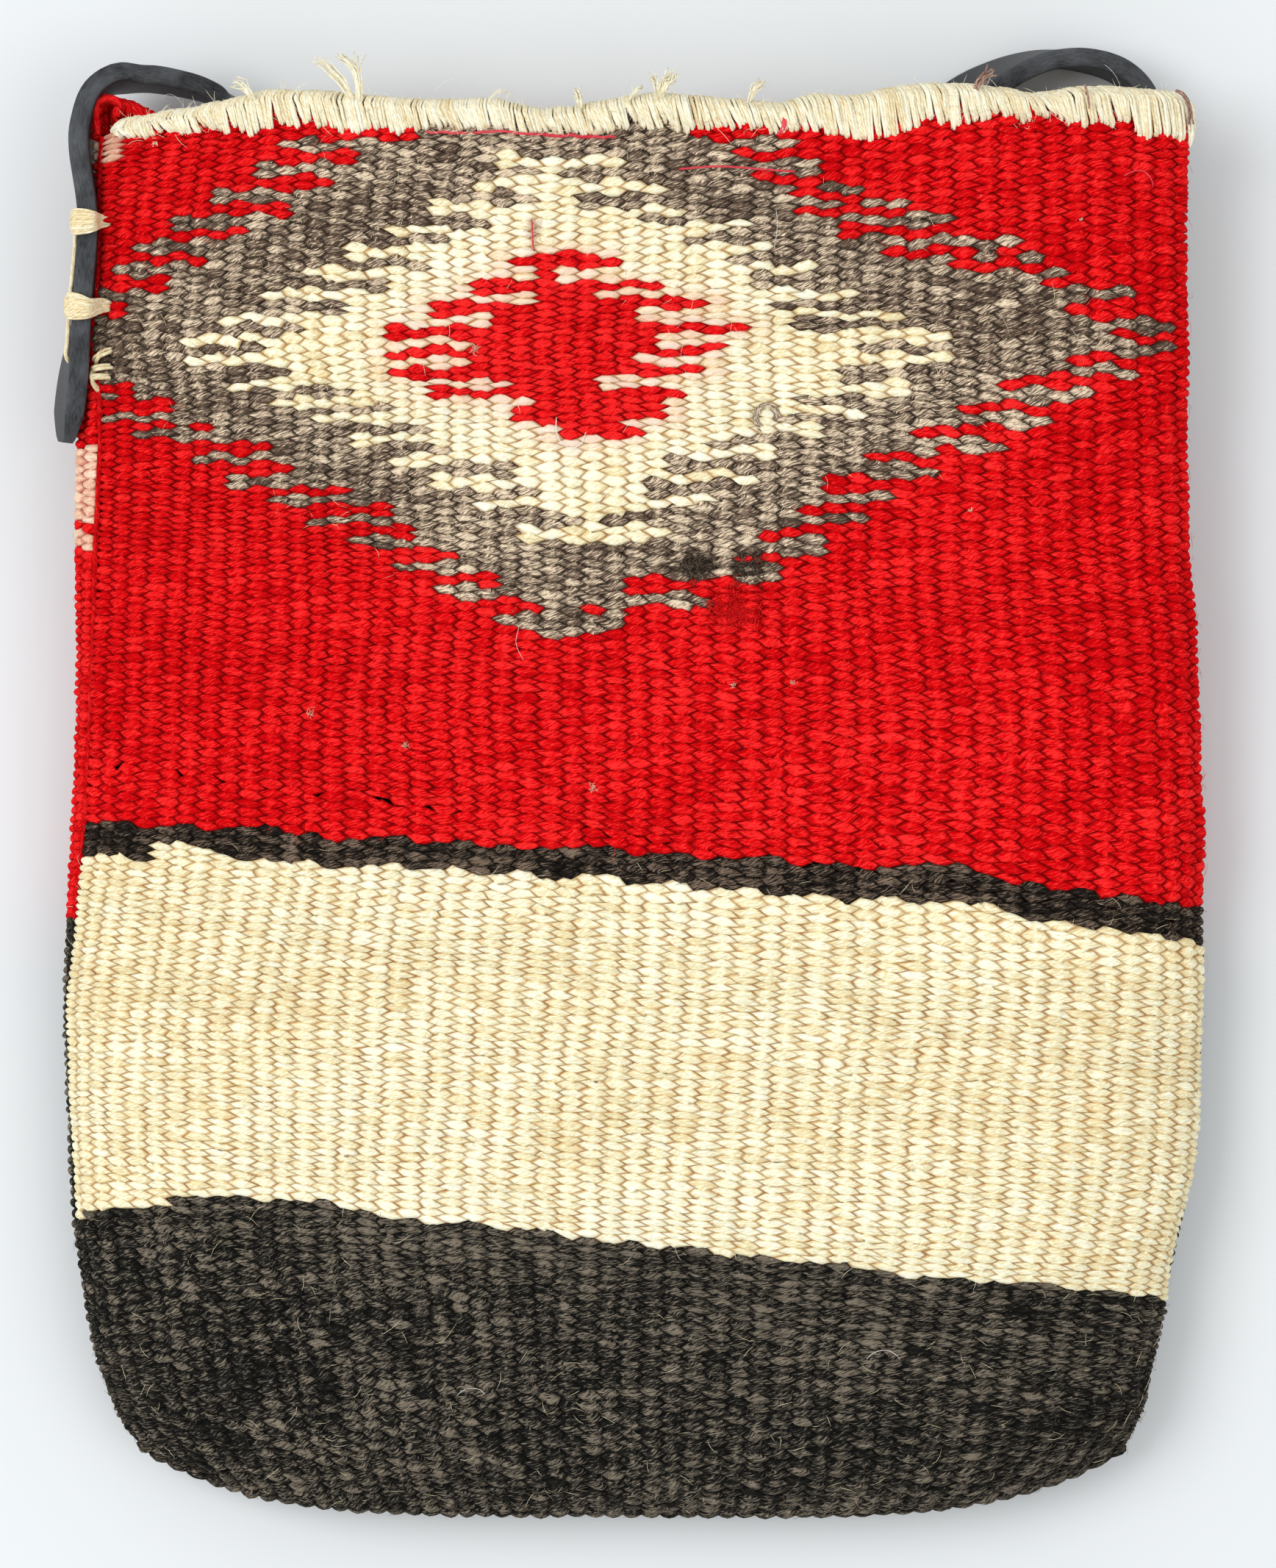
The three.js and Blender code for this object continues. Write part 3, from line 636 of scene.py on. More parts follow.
def cloth_grid(grow=0.0):
    """The cloth from the front of the mouth, round the bottom fold, to the back of the mouth."""
    t = np.linspace(0, 1, ACROSS_STEPS + 1)
    front = []
    back = []
    for down in FRONT_DOWNS:
        edge = ring(down, SEAM_SHARES)[:, 0]
        left = np.interp(seam_at(down), edge - edge[0], SEAM_SHARES)
        face = ring(down, left + (0.5 - left) * t, grow)
        face[:, 1] += (mouth_line(face[:, 0]) - MOUTH_Y) * math.exp(-down / MOUTH_FADE)
        front.append(face)
        behind = ring(down, 1 + left - (0.5 + left) * t, grow)
        corner = np.clip(1 - np.abs(behind[:, 0] - CORNER_X) / CORNER_REACH, 0, 1)
        fade = math.exp(-down / CORNER_FADE)
        behind[:, 1] += (CORNER_RISE * corner ** 0.7 - back_drop_at(behind[:, 0])) * fade
        back.append(behind)
    middle = (front[-1] + back[-1]) / 2
    reach = (front[-1] - back[-1]) / 2
    fold = []
    for turn in np.radians(FOLD_TURNS):
        bulge = np.zeros_like(reach)
        bulge[:, 1] = -FOLD_BULGE * math.cos(turn)
        fold.append(middle + reach * math.sin(turn) + bulge)
    return np.array(front + fold + back[::-1]), len(front)


grid, front_rows = cloth_grid()
outside = Surface(grid)
front_length = outside.way[front_rows - 1]
cloth_length = outside.way[-1]
inside = Surface(cloth_grid(-CLOTH_THICKNESS)[0])
rng = np.random.default_rng(7)


# The lattice of rows and columns that the stitches lie on

def along_at(down):
    """Distance along the cloth at a distance down the front."""
    return np.interp(down, FRONT_DOWNS, outside.way[:front_rows])


def row_places():
    """Distance along the cloth of each row of stitches."""
    band = along_at(BAND_TOP_DOWN)
    cream = along_at(CREAM_TOP_DOWN)
    dark = along_at(DARK_TOP_DOWN)
    places = [FIRST_ROW]
    while places[-1] < cloth_length - 0.5:
        q = places[-1]
        pitch = RED_PITCH
        if q < DIAMOND_Q + DIAMOND_REACH:
            pitch = DIAMOND_PITCH
        elif band <= q < cream:
            pitch = BAND_PITCH
        elif cream <= q < dark:
            pitch = CREAM_PITCH
        elif q >= dark:
            pitch = DARK_PITCH
        places.append(q + pitch * rng.uniform(1 - ROW_UNEVEN, 1 + ROW_UNEVEN))
    return np.array(places)


def skew_of(q):
    """Row skew along the whole cloth: it fades away on the back."""
    fade = np.clip((cloth_length - q) / (cloth_length - SKEW_FADE_Q), 0, 1)
    return row_skew_at(q) * np.where(q > SKEW_FADE_Q, fade, 1.0)


def waves(count, scale_q, scale_u):
    """A smooth random field over the cloth, from a few sine waves."""
    kq = rng.normal(0, 1 / scale_q, count)
    ku = rng.normal(0, 1 / scale_u, count)
    phase = rng.uniform(0, 2 * math.pi, count)

    def value(q, u):
        total = np.zeros(np.broadcast(q, u).shape)
        for a, b, c in zip(kq, ku, phase):
            total = total + np.sin(2 * math.pi * (a * q + b * u * CLOTH_WIDTH) + c)
        return total / math.sqrt(count)

    return value


rows = row_places()
row_sway = waves(9, 90, 70)
fine_row_sway = waves(12, 40, 22)
column_sway = waves(9, 60, 90)
puff = waves(10, 45, 30)
shade_wave = waves(12, 50, 40)
column_shift = rng.uniform(-COLUMN_UNEVEN, COLUMN_UNEVEN, COLUMNS + 2)
column_shift[[0, 1, -2, -1]] = 0


def calm(q):
    """Nought at the mouth's two edges, and one from a short way off."""
    return np.clip(q / CALM_REACH, 0, 1) * np.clip((cloth_length - q) / CALM_REACH, 0, 1)


def sway_of(q, t):
    """How far the rows wander, less near the mouth's two edges."""
    return (ROW_SWAY * row_sway(q, t) + FINE_SWAY * fine_row_sway(q, t)) * calm(q)


def lattice(s, column):
    """Distance along and share across of a place on the lattice of rows and columns."""
    t = (column + 0.5 + np.interp(column, np.arange(-1, COLUMNS + 1), column_shift)) / COLUMNS
    u = t + COLUMN_SPREAD * (t * t - t)
    q = np.interp(s, np.arange(len(rows)), rows)
    q = np.where(s < 0, rows[0] + s * RED_PITCH, q)
    edge = np.clip(12 * t * (1 - t), 0, 1)
    u = u + COLUMN_SWAY / COLUMNS * column_sway(q, t) * edge * calm(q)
    fan = np.clip((q - DIAMOND_Q) / DIAMOND_REACH, -1, 1)
    sides = 0.5 * np.cos(math.pi * np.clip(np.abs(2 * u - 1) / FAN_WIDTH, 0, 1))
    q = q - ROW_FAN * fan * (1 - fan ** 2) ** 2 * sides
    q = q + skew_of(q) * (2 * u - 1)
    return q + sway_of(q, t), u


# The pattern

def nearest_tip(py, tips):
    """The x that a toothed edge reaches at each row: that of the tooth nearest in height."""
    heights = np.array([tip[1] for tip in tips])
    reaches = np.array([tip[0] for tip in tips])
    return reaches[np.abs(py[..., None] - heights).argmin(axis=-1)]


def between_teeth(px, py, left, right):
    """True where a pixel is between two toothed edges."""
    low = min(left[0][1], right[0][1]) - TOOTH_REACH
    high = max(left[-1][1], right[-1][1]) + TOOTH_REACH
    return (px > nearest_tip(py, left)) & (px < nearest_tip(py, right)) & (py > low) & (py < high)


def distance_to(px, py, corners):
    """Pixels from an outline."""
    best = np.full(px.shape, 1e9)
    for (x0, y0), (x1, y1) in zip(corners, corners[1:] + corners[:1]):
        dx = x1 - x0
        dy = y1 - y0
        share = np.clip(((px - x0) * dx + (py - y0) * dy) / max(dx * dx + dy * dy, 1e-9), 0, 1)
        best = np.minimum(best, np.hypot(px - x0 - share * dx, py - y0 - share * dy))
    return best


def yarn_at(points, q, sway=0.0):
    """The yarn's colour and its stain for stitches centred at points, whose row wanders by sway."""
    px, py = to_photo(points)
    py = py - sway / PIXEL
    front = q < front_length
    colour = np.full(px.shape, RED)
    colour[between_teeth(px, py, OUTER_LEFT, OUTER_RIGHT)] = GREY
    inner = between_teeth(px, py, INNER_LEFT, INNER_RIGHT)
    colour[inner] = CREAM
    core = between_teeth(px, py, CORE_LEFT, CORE_RIGHT)
    colour[core] = RED
    colour[py > line(BAND_TOP)(px)] = BROWN
    colour[py > line(BAND_BOTTOM)(px)] = CREAM
    colour[py > line(CREAM_BOTTOM)(px)] = BLACK
    colour = np.where(front, colour, np.where(py > BACK_DARK_PX, BLACK, RED))
    bleed = BLEED * np.exp(-distance_to(px, py, CORE_LEFT + CORE_RIGHT[::-1]) / BLEED_PX)
    stain = np.where(front & inner & ~core, bleed, 0.0)
    strip = ~front & (px < STRIP_PX) & (points[..., 2] > STRIP_LEVEL)
    patch = strip & (py > STAIN_PX[0]) & (py < STAIN_PX[1])
    corner = strip & (py > CORNER_STAIN_PX[0]) & (py < CORNER_STAIN_PX[1])
    pale = (patch | corner) & (rng.random(px.shape) < PALE_SHARE)
    worn = front & (px < WORN_PX[0]) & (py > WORN_PX[1]) & (py < WORN_PX[2])
    pale |= worn & (rng.random(px.shape) < WORN_SHARE)
    return np.where(pale, PINK, colour), stain


def painted_light_of(points):
    """Painted light and shade: paler round the core of the diamond, darker towards the sides."""
    px, py = to_photo(points)
    core = np.exp(-((px - PAINTED_GLOW_PX[0]) ** 2 + (py - PAINTED_GLOW_PX[1]) ** 2) / (2 * PAINTED_GLOW_REACH ** 2))
    side = np.clip((np.abs(px - ORIGIN_PX[0]) - SIDE_FROM_PX) / SIDE_REACH_PX, 0, 1)
    return CORE_PAINTED_GLOW * core - SIDE_PAINTED_SHADE * side


# Meshes

def add_mesh(name, points, triangles, materials, slots, uv, yarn=None):
    """A smooth mesh piece from arrays in millimetres, riding on the bag."""
    mesh = bpy.data.meshes.new(name)
    triangles = np.asarray(triangles, np.int32).reshape(-1, 3)
    points = np.asarray(points, np.float64).reshape(-1, 3)
    mesh.vertices.add(len(points))
    mesh.vertices.foreach_set("co", (points * MM).astype(np.float32).ravel())
    mesh.loops.add(triangles.size)
    mesh.loops.foreach_set("vertex_index", triangles.ravel())
    mesh.polygons.add(len(triangles))
    mesh.polygons.foreach_set("loop_start", np.arange(0, triangles.size, 3, dtype=np.int32))
    mesh.update(calc_edges=True)
    mesh.polygons.foreach_set("use_smooth", np.full(len(triangles), True))
    for material in materials:
        mesh.materials.append(material)
    if slots is not None:
        mesh.polygons.foreach_set("material_index", np.asarray(slots, np.int32))
    layer = mesh.uv_layers.new(name="Strand")
    layer.data.foreach_set("uv", np.asarray(uv, np.float32).reshape(-1, 2)[triangles.ravel()].ravel())
    if yarn is not None:
        shade = mesh.attributes.new("Yarn", "FLOAT_COLOR", "POINT")
        shade.data.foreach_set("color", np.asarray(yarn, np.float32).ravel())
    mesh.validate()
    piece = bpy.data.objects.new(name, mesh)
    bpy.context.scene.collection.objects.link(piece)
    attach(piece, "root")
    return piece


def stitch_triangles(fine, step):
    """Triangles of one stitch: strips between its rows, and a fan at each tip."""
    order = list(ROW_STARTS)
    if fine:
        order = [FINE_STARTS[0]] + order + [FINE_STARTS[1]]
    found = []
    for k in range(0, len(STITCH_ACROSS) - 1, step):
        beside = k + step
        found.append((TIP_POINTS[0], order[0] + k, order[0] + beside))
        found.append((TIP_POINTS[1], order[-1] + beside, order[-1] + k))
        for first, second in zip(order, order[1:]):
            found.append((first + k, second + k, second + beside))
            found.append((first + k, second + beside, first + beside))
    return np.array(found)


def add_fine(values):
    """Values for a fine stitch's extra rows, halfway between its tips and its outer rows."""
    left = (values[:, TIP_POINTS[0], None] + values[:, ROW_STARTS[0]:ROW_STARTS[0] + 5]) / 2
    right = (values[:, TIP_POINTS[1], None] + values[:, ROW_STARTS[2]:ROW_STARTS[2] + 5]) / 2
    return np.concatenate([values, left, right], axis=1)


def stitches(surface, first_row, last_row, name, depth=1.0, flip=False, fine=False):
    """One piece of cloth: a stitch at each place of the lattice, over the rows given."""
    row, column = np.meshgrid(np.arange(first_row, last_row), np.arange(COLUMNS), indexing="ij")
    row = row.ravel()
    column = column.ravel()
    centre = row + 0.5 * (column % 2) + 0.5
    count = len(row)
    local = np.array(STITCH)
    columns = column[:, None] + local[None, :, 0]
    places = centre[:, None] + local[None, :, 1]
    half_steps = np.rint(2 * places).astype(int)
    # Where stitches meet they share a corner, and it is moved a little
    corner_shift = rng.normal(0, 1, (COLUMNS + 2, 3, 2 * len(rows) + 8, 2))
    side = np.array([1, 0] + [0] * 5 + [2] * 5 + [1] * 5)
    owner = np.array([-1, 1] + [0] * 15)
    shared = np.array([True, True] + ENDS_SHARED * 3)
    shift = corner_shift[column[:, None] + owner[None, :] + 1, side[None, :], half_steps + 2]
    columns = columns + np.where(shared[None, :], CORNER_SHIFT[0] * shift[..., 0], 0)
    places = places + np.where(shared[None, :], CORNER_SHIFT[1] * shift[..., 1], 0)
    lean = rng.normal(0, STITCH_LEAN, (count, 1)) * np.sign(local[None, :, 0])
    slip = rng.normal(0, STITCH_SLIP, (count, 1))
    places = places + np.where(shared[None, :], 0, lean + slip)
    heights = np.array(STITCH_HEIGHTS)
    if fine:
        columns = add_fine(columns)
        places = add_fine(places)
        local = add_fine(local[None])[0]
        heights = np.concatenate([heights, FINE_HEIGHTS, FINE_HEIGHTS])
        shared = np.concatenate([shared, ENDS_SHARED * 2])
    q, u = lattice(places, columns)
    shrink = surface.way[-1] / cloth_length
    point, normal = surface.read(q * shrink, u)
    middle_q, middle_u = lattice(centre, column)
    middle = surface.read(middle_q * shrink, middle_u)[0]
    thick = 1 + STITCH_UNEVEN * rng.normal(0, 1, (count, 1))
    thick = thick + PUFF_UNEVEN * puff(middle_q, middle_u)[:, None]
    height = heights[None, :] * np.where(shared[None, :], 1.0, thick) * depth
    swell = PUFF_RISE * puff(q, u) * np.clip(q / PUFF_CALM, 0, 1) * (q < front_length)
    sign = -1.0 if flip else 1.0
    point = point + normal * (sign * height + swell)[..., None]
    point[..., 2] = np.maximum(point[..., 2], FLOOR_CLEAR)
    colour, stain = yarn_at(middle, middle_q, sway_of(middle_q, middle_u))
    uv = (local * STITCH_UV)[None] + rng.uniform(0, UV_SPAN, (count, 1, 2))
    size = len(heights)
    yarn = np.ones((count, size, 4))
    shade = 0.5 + SHADE_UNEVEN * rng.normal(0, 1, (count, 1))
    shade = shade + SHADE_WAVE * shade_wave(middle_q, middle_u)[:, None]
    # Painted light round the core and painted shade towards the sides, on the front only
    shade = shade + painted_light_of(middle)[:, None] * (middle_q < front_length)[:, None]
    flecks = (rng.random((count, 1)) < FLECK_SHARE) & np.isin(colour, (GREY, BROWN, BLACK))[:, None]
    yarn[..., 0] = np.clip(shade + FLECK_LIGHT * flecks, 0, 1)
    # Height share: it darkens the valleys with painted shade and lightens the crowns with painted highlight
    yarn[..., 1] = np.clip((heights[None, :] - VALLEY) / (RIDGE - VALLEY), 0, 1)
    yarn[..., 2] = stain[:, None]
    shape = stitch_triangles(fine, 2 if flip else 1)
    triangles = shape[None, :, :] + (np.arange(count) * size)[:, None, None]
    if flip:
        triangles = triangles[..., ::-1]
    return add_mesh(name, point, triangles, CLOTH_MATERIALS, np.repeat(colour, len(shape)), uv, yarn)


# Materials

def linear(colour):
    """Screen colour from 0 to 255 as the shader's own colour."""
    out = []
    for value in colour:
        c = value / 255
        out.append(c / 12.92 if c <= 0.04045 else ((c + 0.055) / 1.055) ** 2.4)
    return (*out, 1.0)


class Net:
    """A new material, whose nodes are made and joined in one call each."""

    def __init__(self, name):
        self.material = bpy.data.materials.new(name)
        self.material.use_nodes = True
        self.tree = self.material.node_tree
        self.shader = self.tree.nodes["Principled BSDF"]

    def join(self, node, inputs):
        """Fills a node's inputs: other nodes' outputs are linked, and other values are set."""
        for key, value in inputs.items():
            if isinstance(value, bpy.types.NodeSocket):
                self.tree.links.new(value, node.inputs[key])
            else:
                node.inputs[key].default_value = value

    def add(self, kind, inputs, output, **settings):
        """A new node's output."""
        node = self.tree.nodes.new("ShaderNode" + kind)
        for key, value in settings.items():
            setattr(node, key, value)
        self.join(node, inputs)
        return node.outputs[output]

    def strand(self):
        """Places along and across the strand."""
        return self.add("UVMap", {}, "UV", uv_map="Strand")

    def mapped(self, vector, **change):
        """Places turned or stretched."""
        return self.add("Mapping", {"Vector": vector, **change}, "Vector")

    def noise(self, vector, scale, detail, roughness=0.5, dimensions="2D"):
        """Cloudy noise."""
        inputs = {"Vector": vector, "Scale": scale, "Detail": detail, "Roughness": roughness}
        return self.add("TexNoise", inputs, "Fac", noise_dimensions=dimensions)

    def calc(self, operation, *values):
        """A sum of two or three values."""
        return self.add("Math", dict(enumerate(values)), "Value", operation=operation)

    def remap(self, value, low, high, to_low, to_high, clamp=True):
        """A value moved from one range to another."""
        inputs = {"Value": value, "From Min": low, "From Max": high, "To Min": to_low, "To Max": to_high}
        return self.add("MapRange", inputs, "Result", clamp=clamp)

    def ramp(self, value, first, last, between=()):
        """Colours by value: the first and last places and colours, then any between them."""
        out = self.add("ValToRGB", {"Fac": value}, "Color")
        elements = out.node.color_ramp.elements
        for element, (place, colour) in zip(elements, (first, last)):
            element.position = place
            element.color = linear(colour)
        for place, colour in between:
            elements.new(place).color = linear(colour)
        return out

    def blend(self, share, first, second):
        """A share of the second colour in the first."""
        return self.add("Mix", {"Factor": share, "A": first, "B": second}, "Result", data_type="RGBA")

    def bump(self, height, strength, distance):
        """A normal for fine relief."""
        inputs = {"Height": height, "Strength": strength, "Distance": distance}
        return self.add("Bump", inputs, "Normal")


def wool(name, deep, dark, mid, light, streaks=1.0, sheen=0.2):
    """Twisted wool: slanted fibre streaks, a shade for each stitch, painted highlight on its crown, and
    painted shade where stitches meet.
    """
    net = Net(name)
    slanted = net.mapped(net.strand(), Rotation=(0, 0, math.radians(FIBRE_SLANT)))
    ply = net.noise(net.mapped(slanted, Scale=(0.45, 3.6, 1)), 1.0, 2.0, 0.6)
    fibre = net.noise(net.mapped(slanted, Scale=(0.8, 9.5, 1)), 1.0, 2.0, 0.6)
    both = net.calc("MULTIPLY_ADD", ply, 0.55, net.calc("MULTIPLY", fibre, 0.45))
    contrast = net.remap(both, 0.36, 0.64, -0.5 * streaks, 0.5 * streaks, clamp=False)
    yarn = net.add("Attribute", {}, "Color", attribute_name="Yarn")
    parts = net.add("SeparateColor", {"Color": yarn}, "Red").node.outputs
    # Streaks, the stitch's own shade and a painted highlight on its crown pick a place between dark and light
    tone = net.calc("MULTIPLY_ADD", parts["Red"], 0.9, contrast)
    tone = net.calc("MULTIPLY_ADD", parts["Green"], CROWN_PAINTED_HIGHLIGHT, tone)
    tone = net.calc("SUBTRACT", tone, PAINTED_HIGHLIGHT_OFFSET)
    plain = net.ramp(tone, (0.0, dark), (1.0, light), [(0.5, mid)])
    stained = net.blend(parts["Blue"], plain, linear(STAIN_COLOUR))
    # Painted shade: the deep colour is mixed in towards the valleys between stitches, unevenly
    painted_crevice_shade = net.remap(parts["Green"], 0.0, 0.5, 1.0, 0.0)
    uneven = net.noise(net.add("TexCoord", {}, "Object"), 420.0, 2.0, dimensions="3D")
    share = net.calc("MULTIPLY", painted_crevice_shade, net.calc("MULTIPLY", uneven, 1.7))
    net.join(net.shader, {
        "Base Color": net.blend(share, stained, linear(deep)),
        "Normal": net.bump(both, 0.9, 0.0005),
        "Roughness": 0.92,
        "Specular IOR Level": 0.06,
        "Sheen Weight": sheen,
        "Sheen Roughness": 0.5,
        "Sheen Tint": linear(light),
    })
    return net.material


def leather_material(name, dark, light, roughness, scale, stretch, bump_depth):
    """Black leather: mottled, with a fine grain, or fibres along a cut edge."""
    net = Net(name)
    grain = net.noise(net.mapped(net.strand(), Scale=(*stretch, 1)), scale, 6.0, 0.7)
    patch = net.noise(net.strand(), 0.16, 3.0)
    both = net.calc("MULTIPLY_ADD", patch, 0.6, net.calc("MULTIPLY", grain, 0.7))
    net.join(net.shader, {
        "Base Color": net.ramp(both, (0.42, dark), (0.86, light)),
        "Normal": net.bump(grain, 0.5, bump_depth),
        "Roughness": net.remap(grain, 0.0, 1.0, roughness - 0.12, roughness + 0.12),
        "Specular IOR Level": 0.35,
    })
    return net.material


# The first colour of each wool is the painted shade in its crevices
red_wool = wool("red_wool", (110, 0, 2), (184, 0, 6), (225, 4, 12), (255, 46, 45), 1.5, 0.05)
grey_wool = wool("grey_wool", (36, 27, 22), (66, 52, 43), (126, 106, 90), (238, 218, 188), 1.25, 0.12)
cream_wool = wool("cream_wool", (178, 132, 76), (234, 212, 160), (254, 249, 210), (255, 254, 236), 1.2, 0.1)
brown_wool = wool("brown_wool", (10, 8, 7), (18, 15, 13), (38, 33, 29), (126, 108, 92), 1.3, 0.1)
black_wool = wool("black_wool", (7, 8, 7), (14, 15, 14), (32, 32, 30), (128, 118, 103), 1.3, 0.1)
pink_wool = wool("pink_wool", (176, 76, 62), (218, 152, 128), (236, 190, 162), (248, 224, 198), 1.0, 0.1)
yarn_wool = wool(
    "overcast_yarn", (150, 104, 54), (232, 204, 152), (255, 247, 212), (255, 254, 238), 1.0, 0.1
)
cord_wool = wool(
    "lashing_cord", (142, 102, 52), (214, 184, 130), (246, 230, 186), (255, 250, 224), 1.1, 0.1
)
thread_red = wool("red_thread", (150, 16, 30), (206, 40, 60), (228, 66, 82), (246, 110, 116), 0.7)
thread_brown = wool("brown_thread", (74, 46, 40), (120, 84, 74), (158, 122, 108), (206, 176, 156), 1.0)
hair_white = wool("white_hair", (200, 190, 180), (226, 218, 206), (240, 234, 224), (252, 250, 246), 0.4)
CLOTH_MATERIALS = [red_wool, grey_wool, cream_wool, brown_wool, black_wool, pink_wool]
leather = leather_material("black_leather", (12, 14, 16), (40, 43, 48), 0.5, 1.6, (1, 1), 0.00012)
leather_edge = leather_material(
    "leather_cut_edge", (22, 24, 27), (85, 88, 92), 0.85, 1.0, (0.5, 4.0), 0.0005
)

# Cloth: the diamond, the bands, the back and the inside
split_row = int(np.searchsorted(rows, along_at(SPLIT_DOWN)))
fold_row = int(np.searchsorted(rows, front_length))
last_row = len(rows) - 1
inside_rows = int(INSIDE_DEPTH / RED_PITCH)
cloth_front = stitches(outside, 1, split_row, "cloth_front", fine=True)
cloth_bands = stitches(outside, split_row, fold_row, "cloth_bands", BAND_DEPTH, fine=True)
cloth_back = stitches(outside, fold_row, last_row - 1, "cloth_back")
inside_front = stitches(inside, 1, inside_rows, "cloth_inside_front", INNER_DEPTH, True)
inside_back = stitches(inside, last_row - inside_rows, last_row - 1, "cloth_inside_back", INNER_DEPTH, True)
for piece in (cloth_front, cloth_bands, cloth_back, inside_front, inside_back):
    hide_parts("woven_body")


# Tubes of yarn, cord and fibre

def catmull(points, steps):
    """Smooth paths through points: an array of paths by points by x, y, z."""
    points = np.asarray(points, float)
    before = 2 * points[:, :1] - points[:, 1:2]
    after = 2 * points[:, -1:] - points[:, -2:-1]
    padded = np.concatenate([before, points, after], axis=1)
    t = np.linspace(0, 1, steps, endpoint=False)[None, :, None]
    out = []
    for k in range(points.shape[1] - 1):
        p0, p1, p2, p3 = (padded[:, k + n][:, None] for n in range(4))
        out.append(
            0.5 * (2 * p1 + (p2 - p0) * t + (2 * p0 - 5 * p1 + 4 * p2 - p3) * t ** 2
                   + (3 * p1 - p0 - 3 * p2 + p3) * t ** 3)
        )
    out.append(points[:, -1:])
    return np.concatenate(out, axis=1)


def tube_faces(length, sides):
    """Triangles of one tube: a strip for each step, and a fan at each end."""
    faces = []
    for k in range(length - 1):
        for j in range(sides):
            a = k * (sides + 1) + j
            b = a + sides + 1
            faces += [(a, b, b + 1), (a, b + 1, a + 1)]
    start = length * (sides + 1)
    tail = (length - 1) * (sides + 1)
    for j in range(sides):
        faces += [(start, j, j + 1), (start + 1, tail + j + 1, tail + j)]
    return np.array(faces)[:, ::-1]


def tubes(name, paths, radii, materials, sides, slots=None, shade=None, height=None, crease=None):
    """Closed round tubes along paths, as one piece. radii is paths by points.

    height says how deep in its furrow each point lies, which sets its painted shade and highlight, and crease
    the way in which tubes lie side by side, whose flanks get painted shade.
    """
    paths = np.asarray(paths, float)
    count, length = paths.shape[:2]
    radii = np.broadcast_to(np.asarray(radii, float), (count, length))
    tangent = unit(np.gradient(paths, axis=1))
    reference = np.eye(3)[np.argmin(np.abs(tangent).sum(axis=1), axis=1)][:, None, :]
    first = unit(np.cross(tangent, reference))
    second = np.cross(tangent, first)
    angle = np.linspace(0, 2 * math.pi, sides + 1)
    around = first[:, :, None, :] * np.cos(angle)[None, None, :, None]
    around = around + second[:, :, None, :] * np.sin(angle)[None, None, :, None]
    rings = paths[:, :, None, :] + around * radii[:, :, None, None]
    per = length * (sides + 1)
    points = np.concatenate([rings.reshape(count, per, 3), paths[:, :1], paths[:, -1:]], axis=1)
    faces = tube_faces(length, sides)
    triangles = faces[None] + (np.arange(count) * (per + 2))[:, None, None]
    steps = np.linalg.norm(np.diff(paths, axis=1), axis=-1)
    way = np.concatenate([np.zeros((count, 1)), np.cumsum(steps, axis=1)], axis=1)
    uv = np.zeros((count, per + 2, 2))
    uv[:, :per, 0] = np.repeat(way, sides + 1, axis=1)
    uv[:, :per, 1] = np.tile(angle, (count, length)) * radii.mean(axis=1)[:, None]
    uv += rng.uniform(0, UV_SPAN, (count, 1, 2))
    yarn = np.ones((count, per + 2, 4))
    tone = rng.normal(0.5, STRAND_UNEVEN, count) if shade is None else shade
    yarn[..., 0] = np.clip(tone, 0, 1)[:, None]
    # Painted highlight and shade: a crown share for each point, lowered deep in furrows and on flanks beside
    # other tubes
    yarn[..., 1] = STRAND_PAINTED_LIGHT
    if height is not None:
        yarn[:, :per, 1] = np.repeat(np.broadcast_to(height, (count, length)), sides + 1, axis=1)
    if crease is not None:
        facing = np.abs((around * np.asarray(crease)).sum(axis=-1))
        yarn[:, :per, 1] *= np.clip(CREASE_FROM - facing, CREASE_LEAST, 1).reshape(count, per)
    yarn[..., 2] = 0.0
    if slots is not None:
        slots = np.repeat(slots, len(faces))
    return add_mesh(name, points, triangles, materials, slots, uv, yarn)


def share_across(x, q):
    """The share across the front cloth that lies at x, near one distance along it."""
    at = np.interp(q, outside.way, np.arange(len(outside.way)))
    row = outside.points[int(np.clip(at, 0, front_rows - 1))]
    return np.interp(x, row[:, 0], np.linspace(0, 1, ACROSS_STEPS + 1))


# Overcast mouth

def overcast_strand(back, px, foot_px, reach, bulge, full, slant):
    """One strand: up the cloth from its foot, over the mouth's edge and down inside."""
    u_top = share_across(photo_x(px, FRONT_LEVEL), 1.0)
    u_foot = share_across(photo_x(foot_px, FRONT_LEVEL), reach)
    q = np.array([reach, reach - FOOT_TURN, *(reach * np.array(STRAND_SHARES)), EDGE_GAP])
    u = u_foot + (u_top - u_foot) * np.array(STRAND_TURNS)
    lift = np.array(STRAND_LIFTS) * np.array([1, 1, bulge, bulge, bulge])
    point, normal = outside.read(cloth_length - q if back else q, u)
    point = point + normal * lift[:, None]
    inner_q = np.array(INNER_DOWNS)
    inner, inner_normal = inside.read(inside.way[-1] - inner_q if back else inner_q, np.full(3, u_top))
    inner = inner - inner_normal * np.array(INNER_LIFTS)[:, None]
    crown = (point[-1] + inner[0]) / 2
    crown[1] += CROWN_RISE * full
    # The slant of the front carries on over the edge
    aside = slant * PIXEL / reach
    crown[0] -= CROWN_ASIDE * aside
    inner[:, 0] -= np.array(INNER_ASIDES) * aside
    return np.concatenate([point, crown[None], inner])


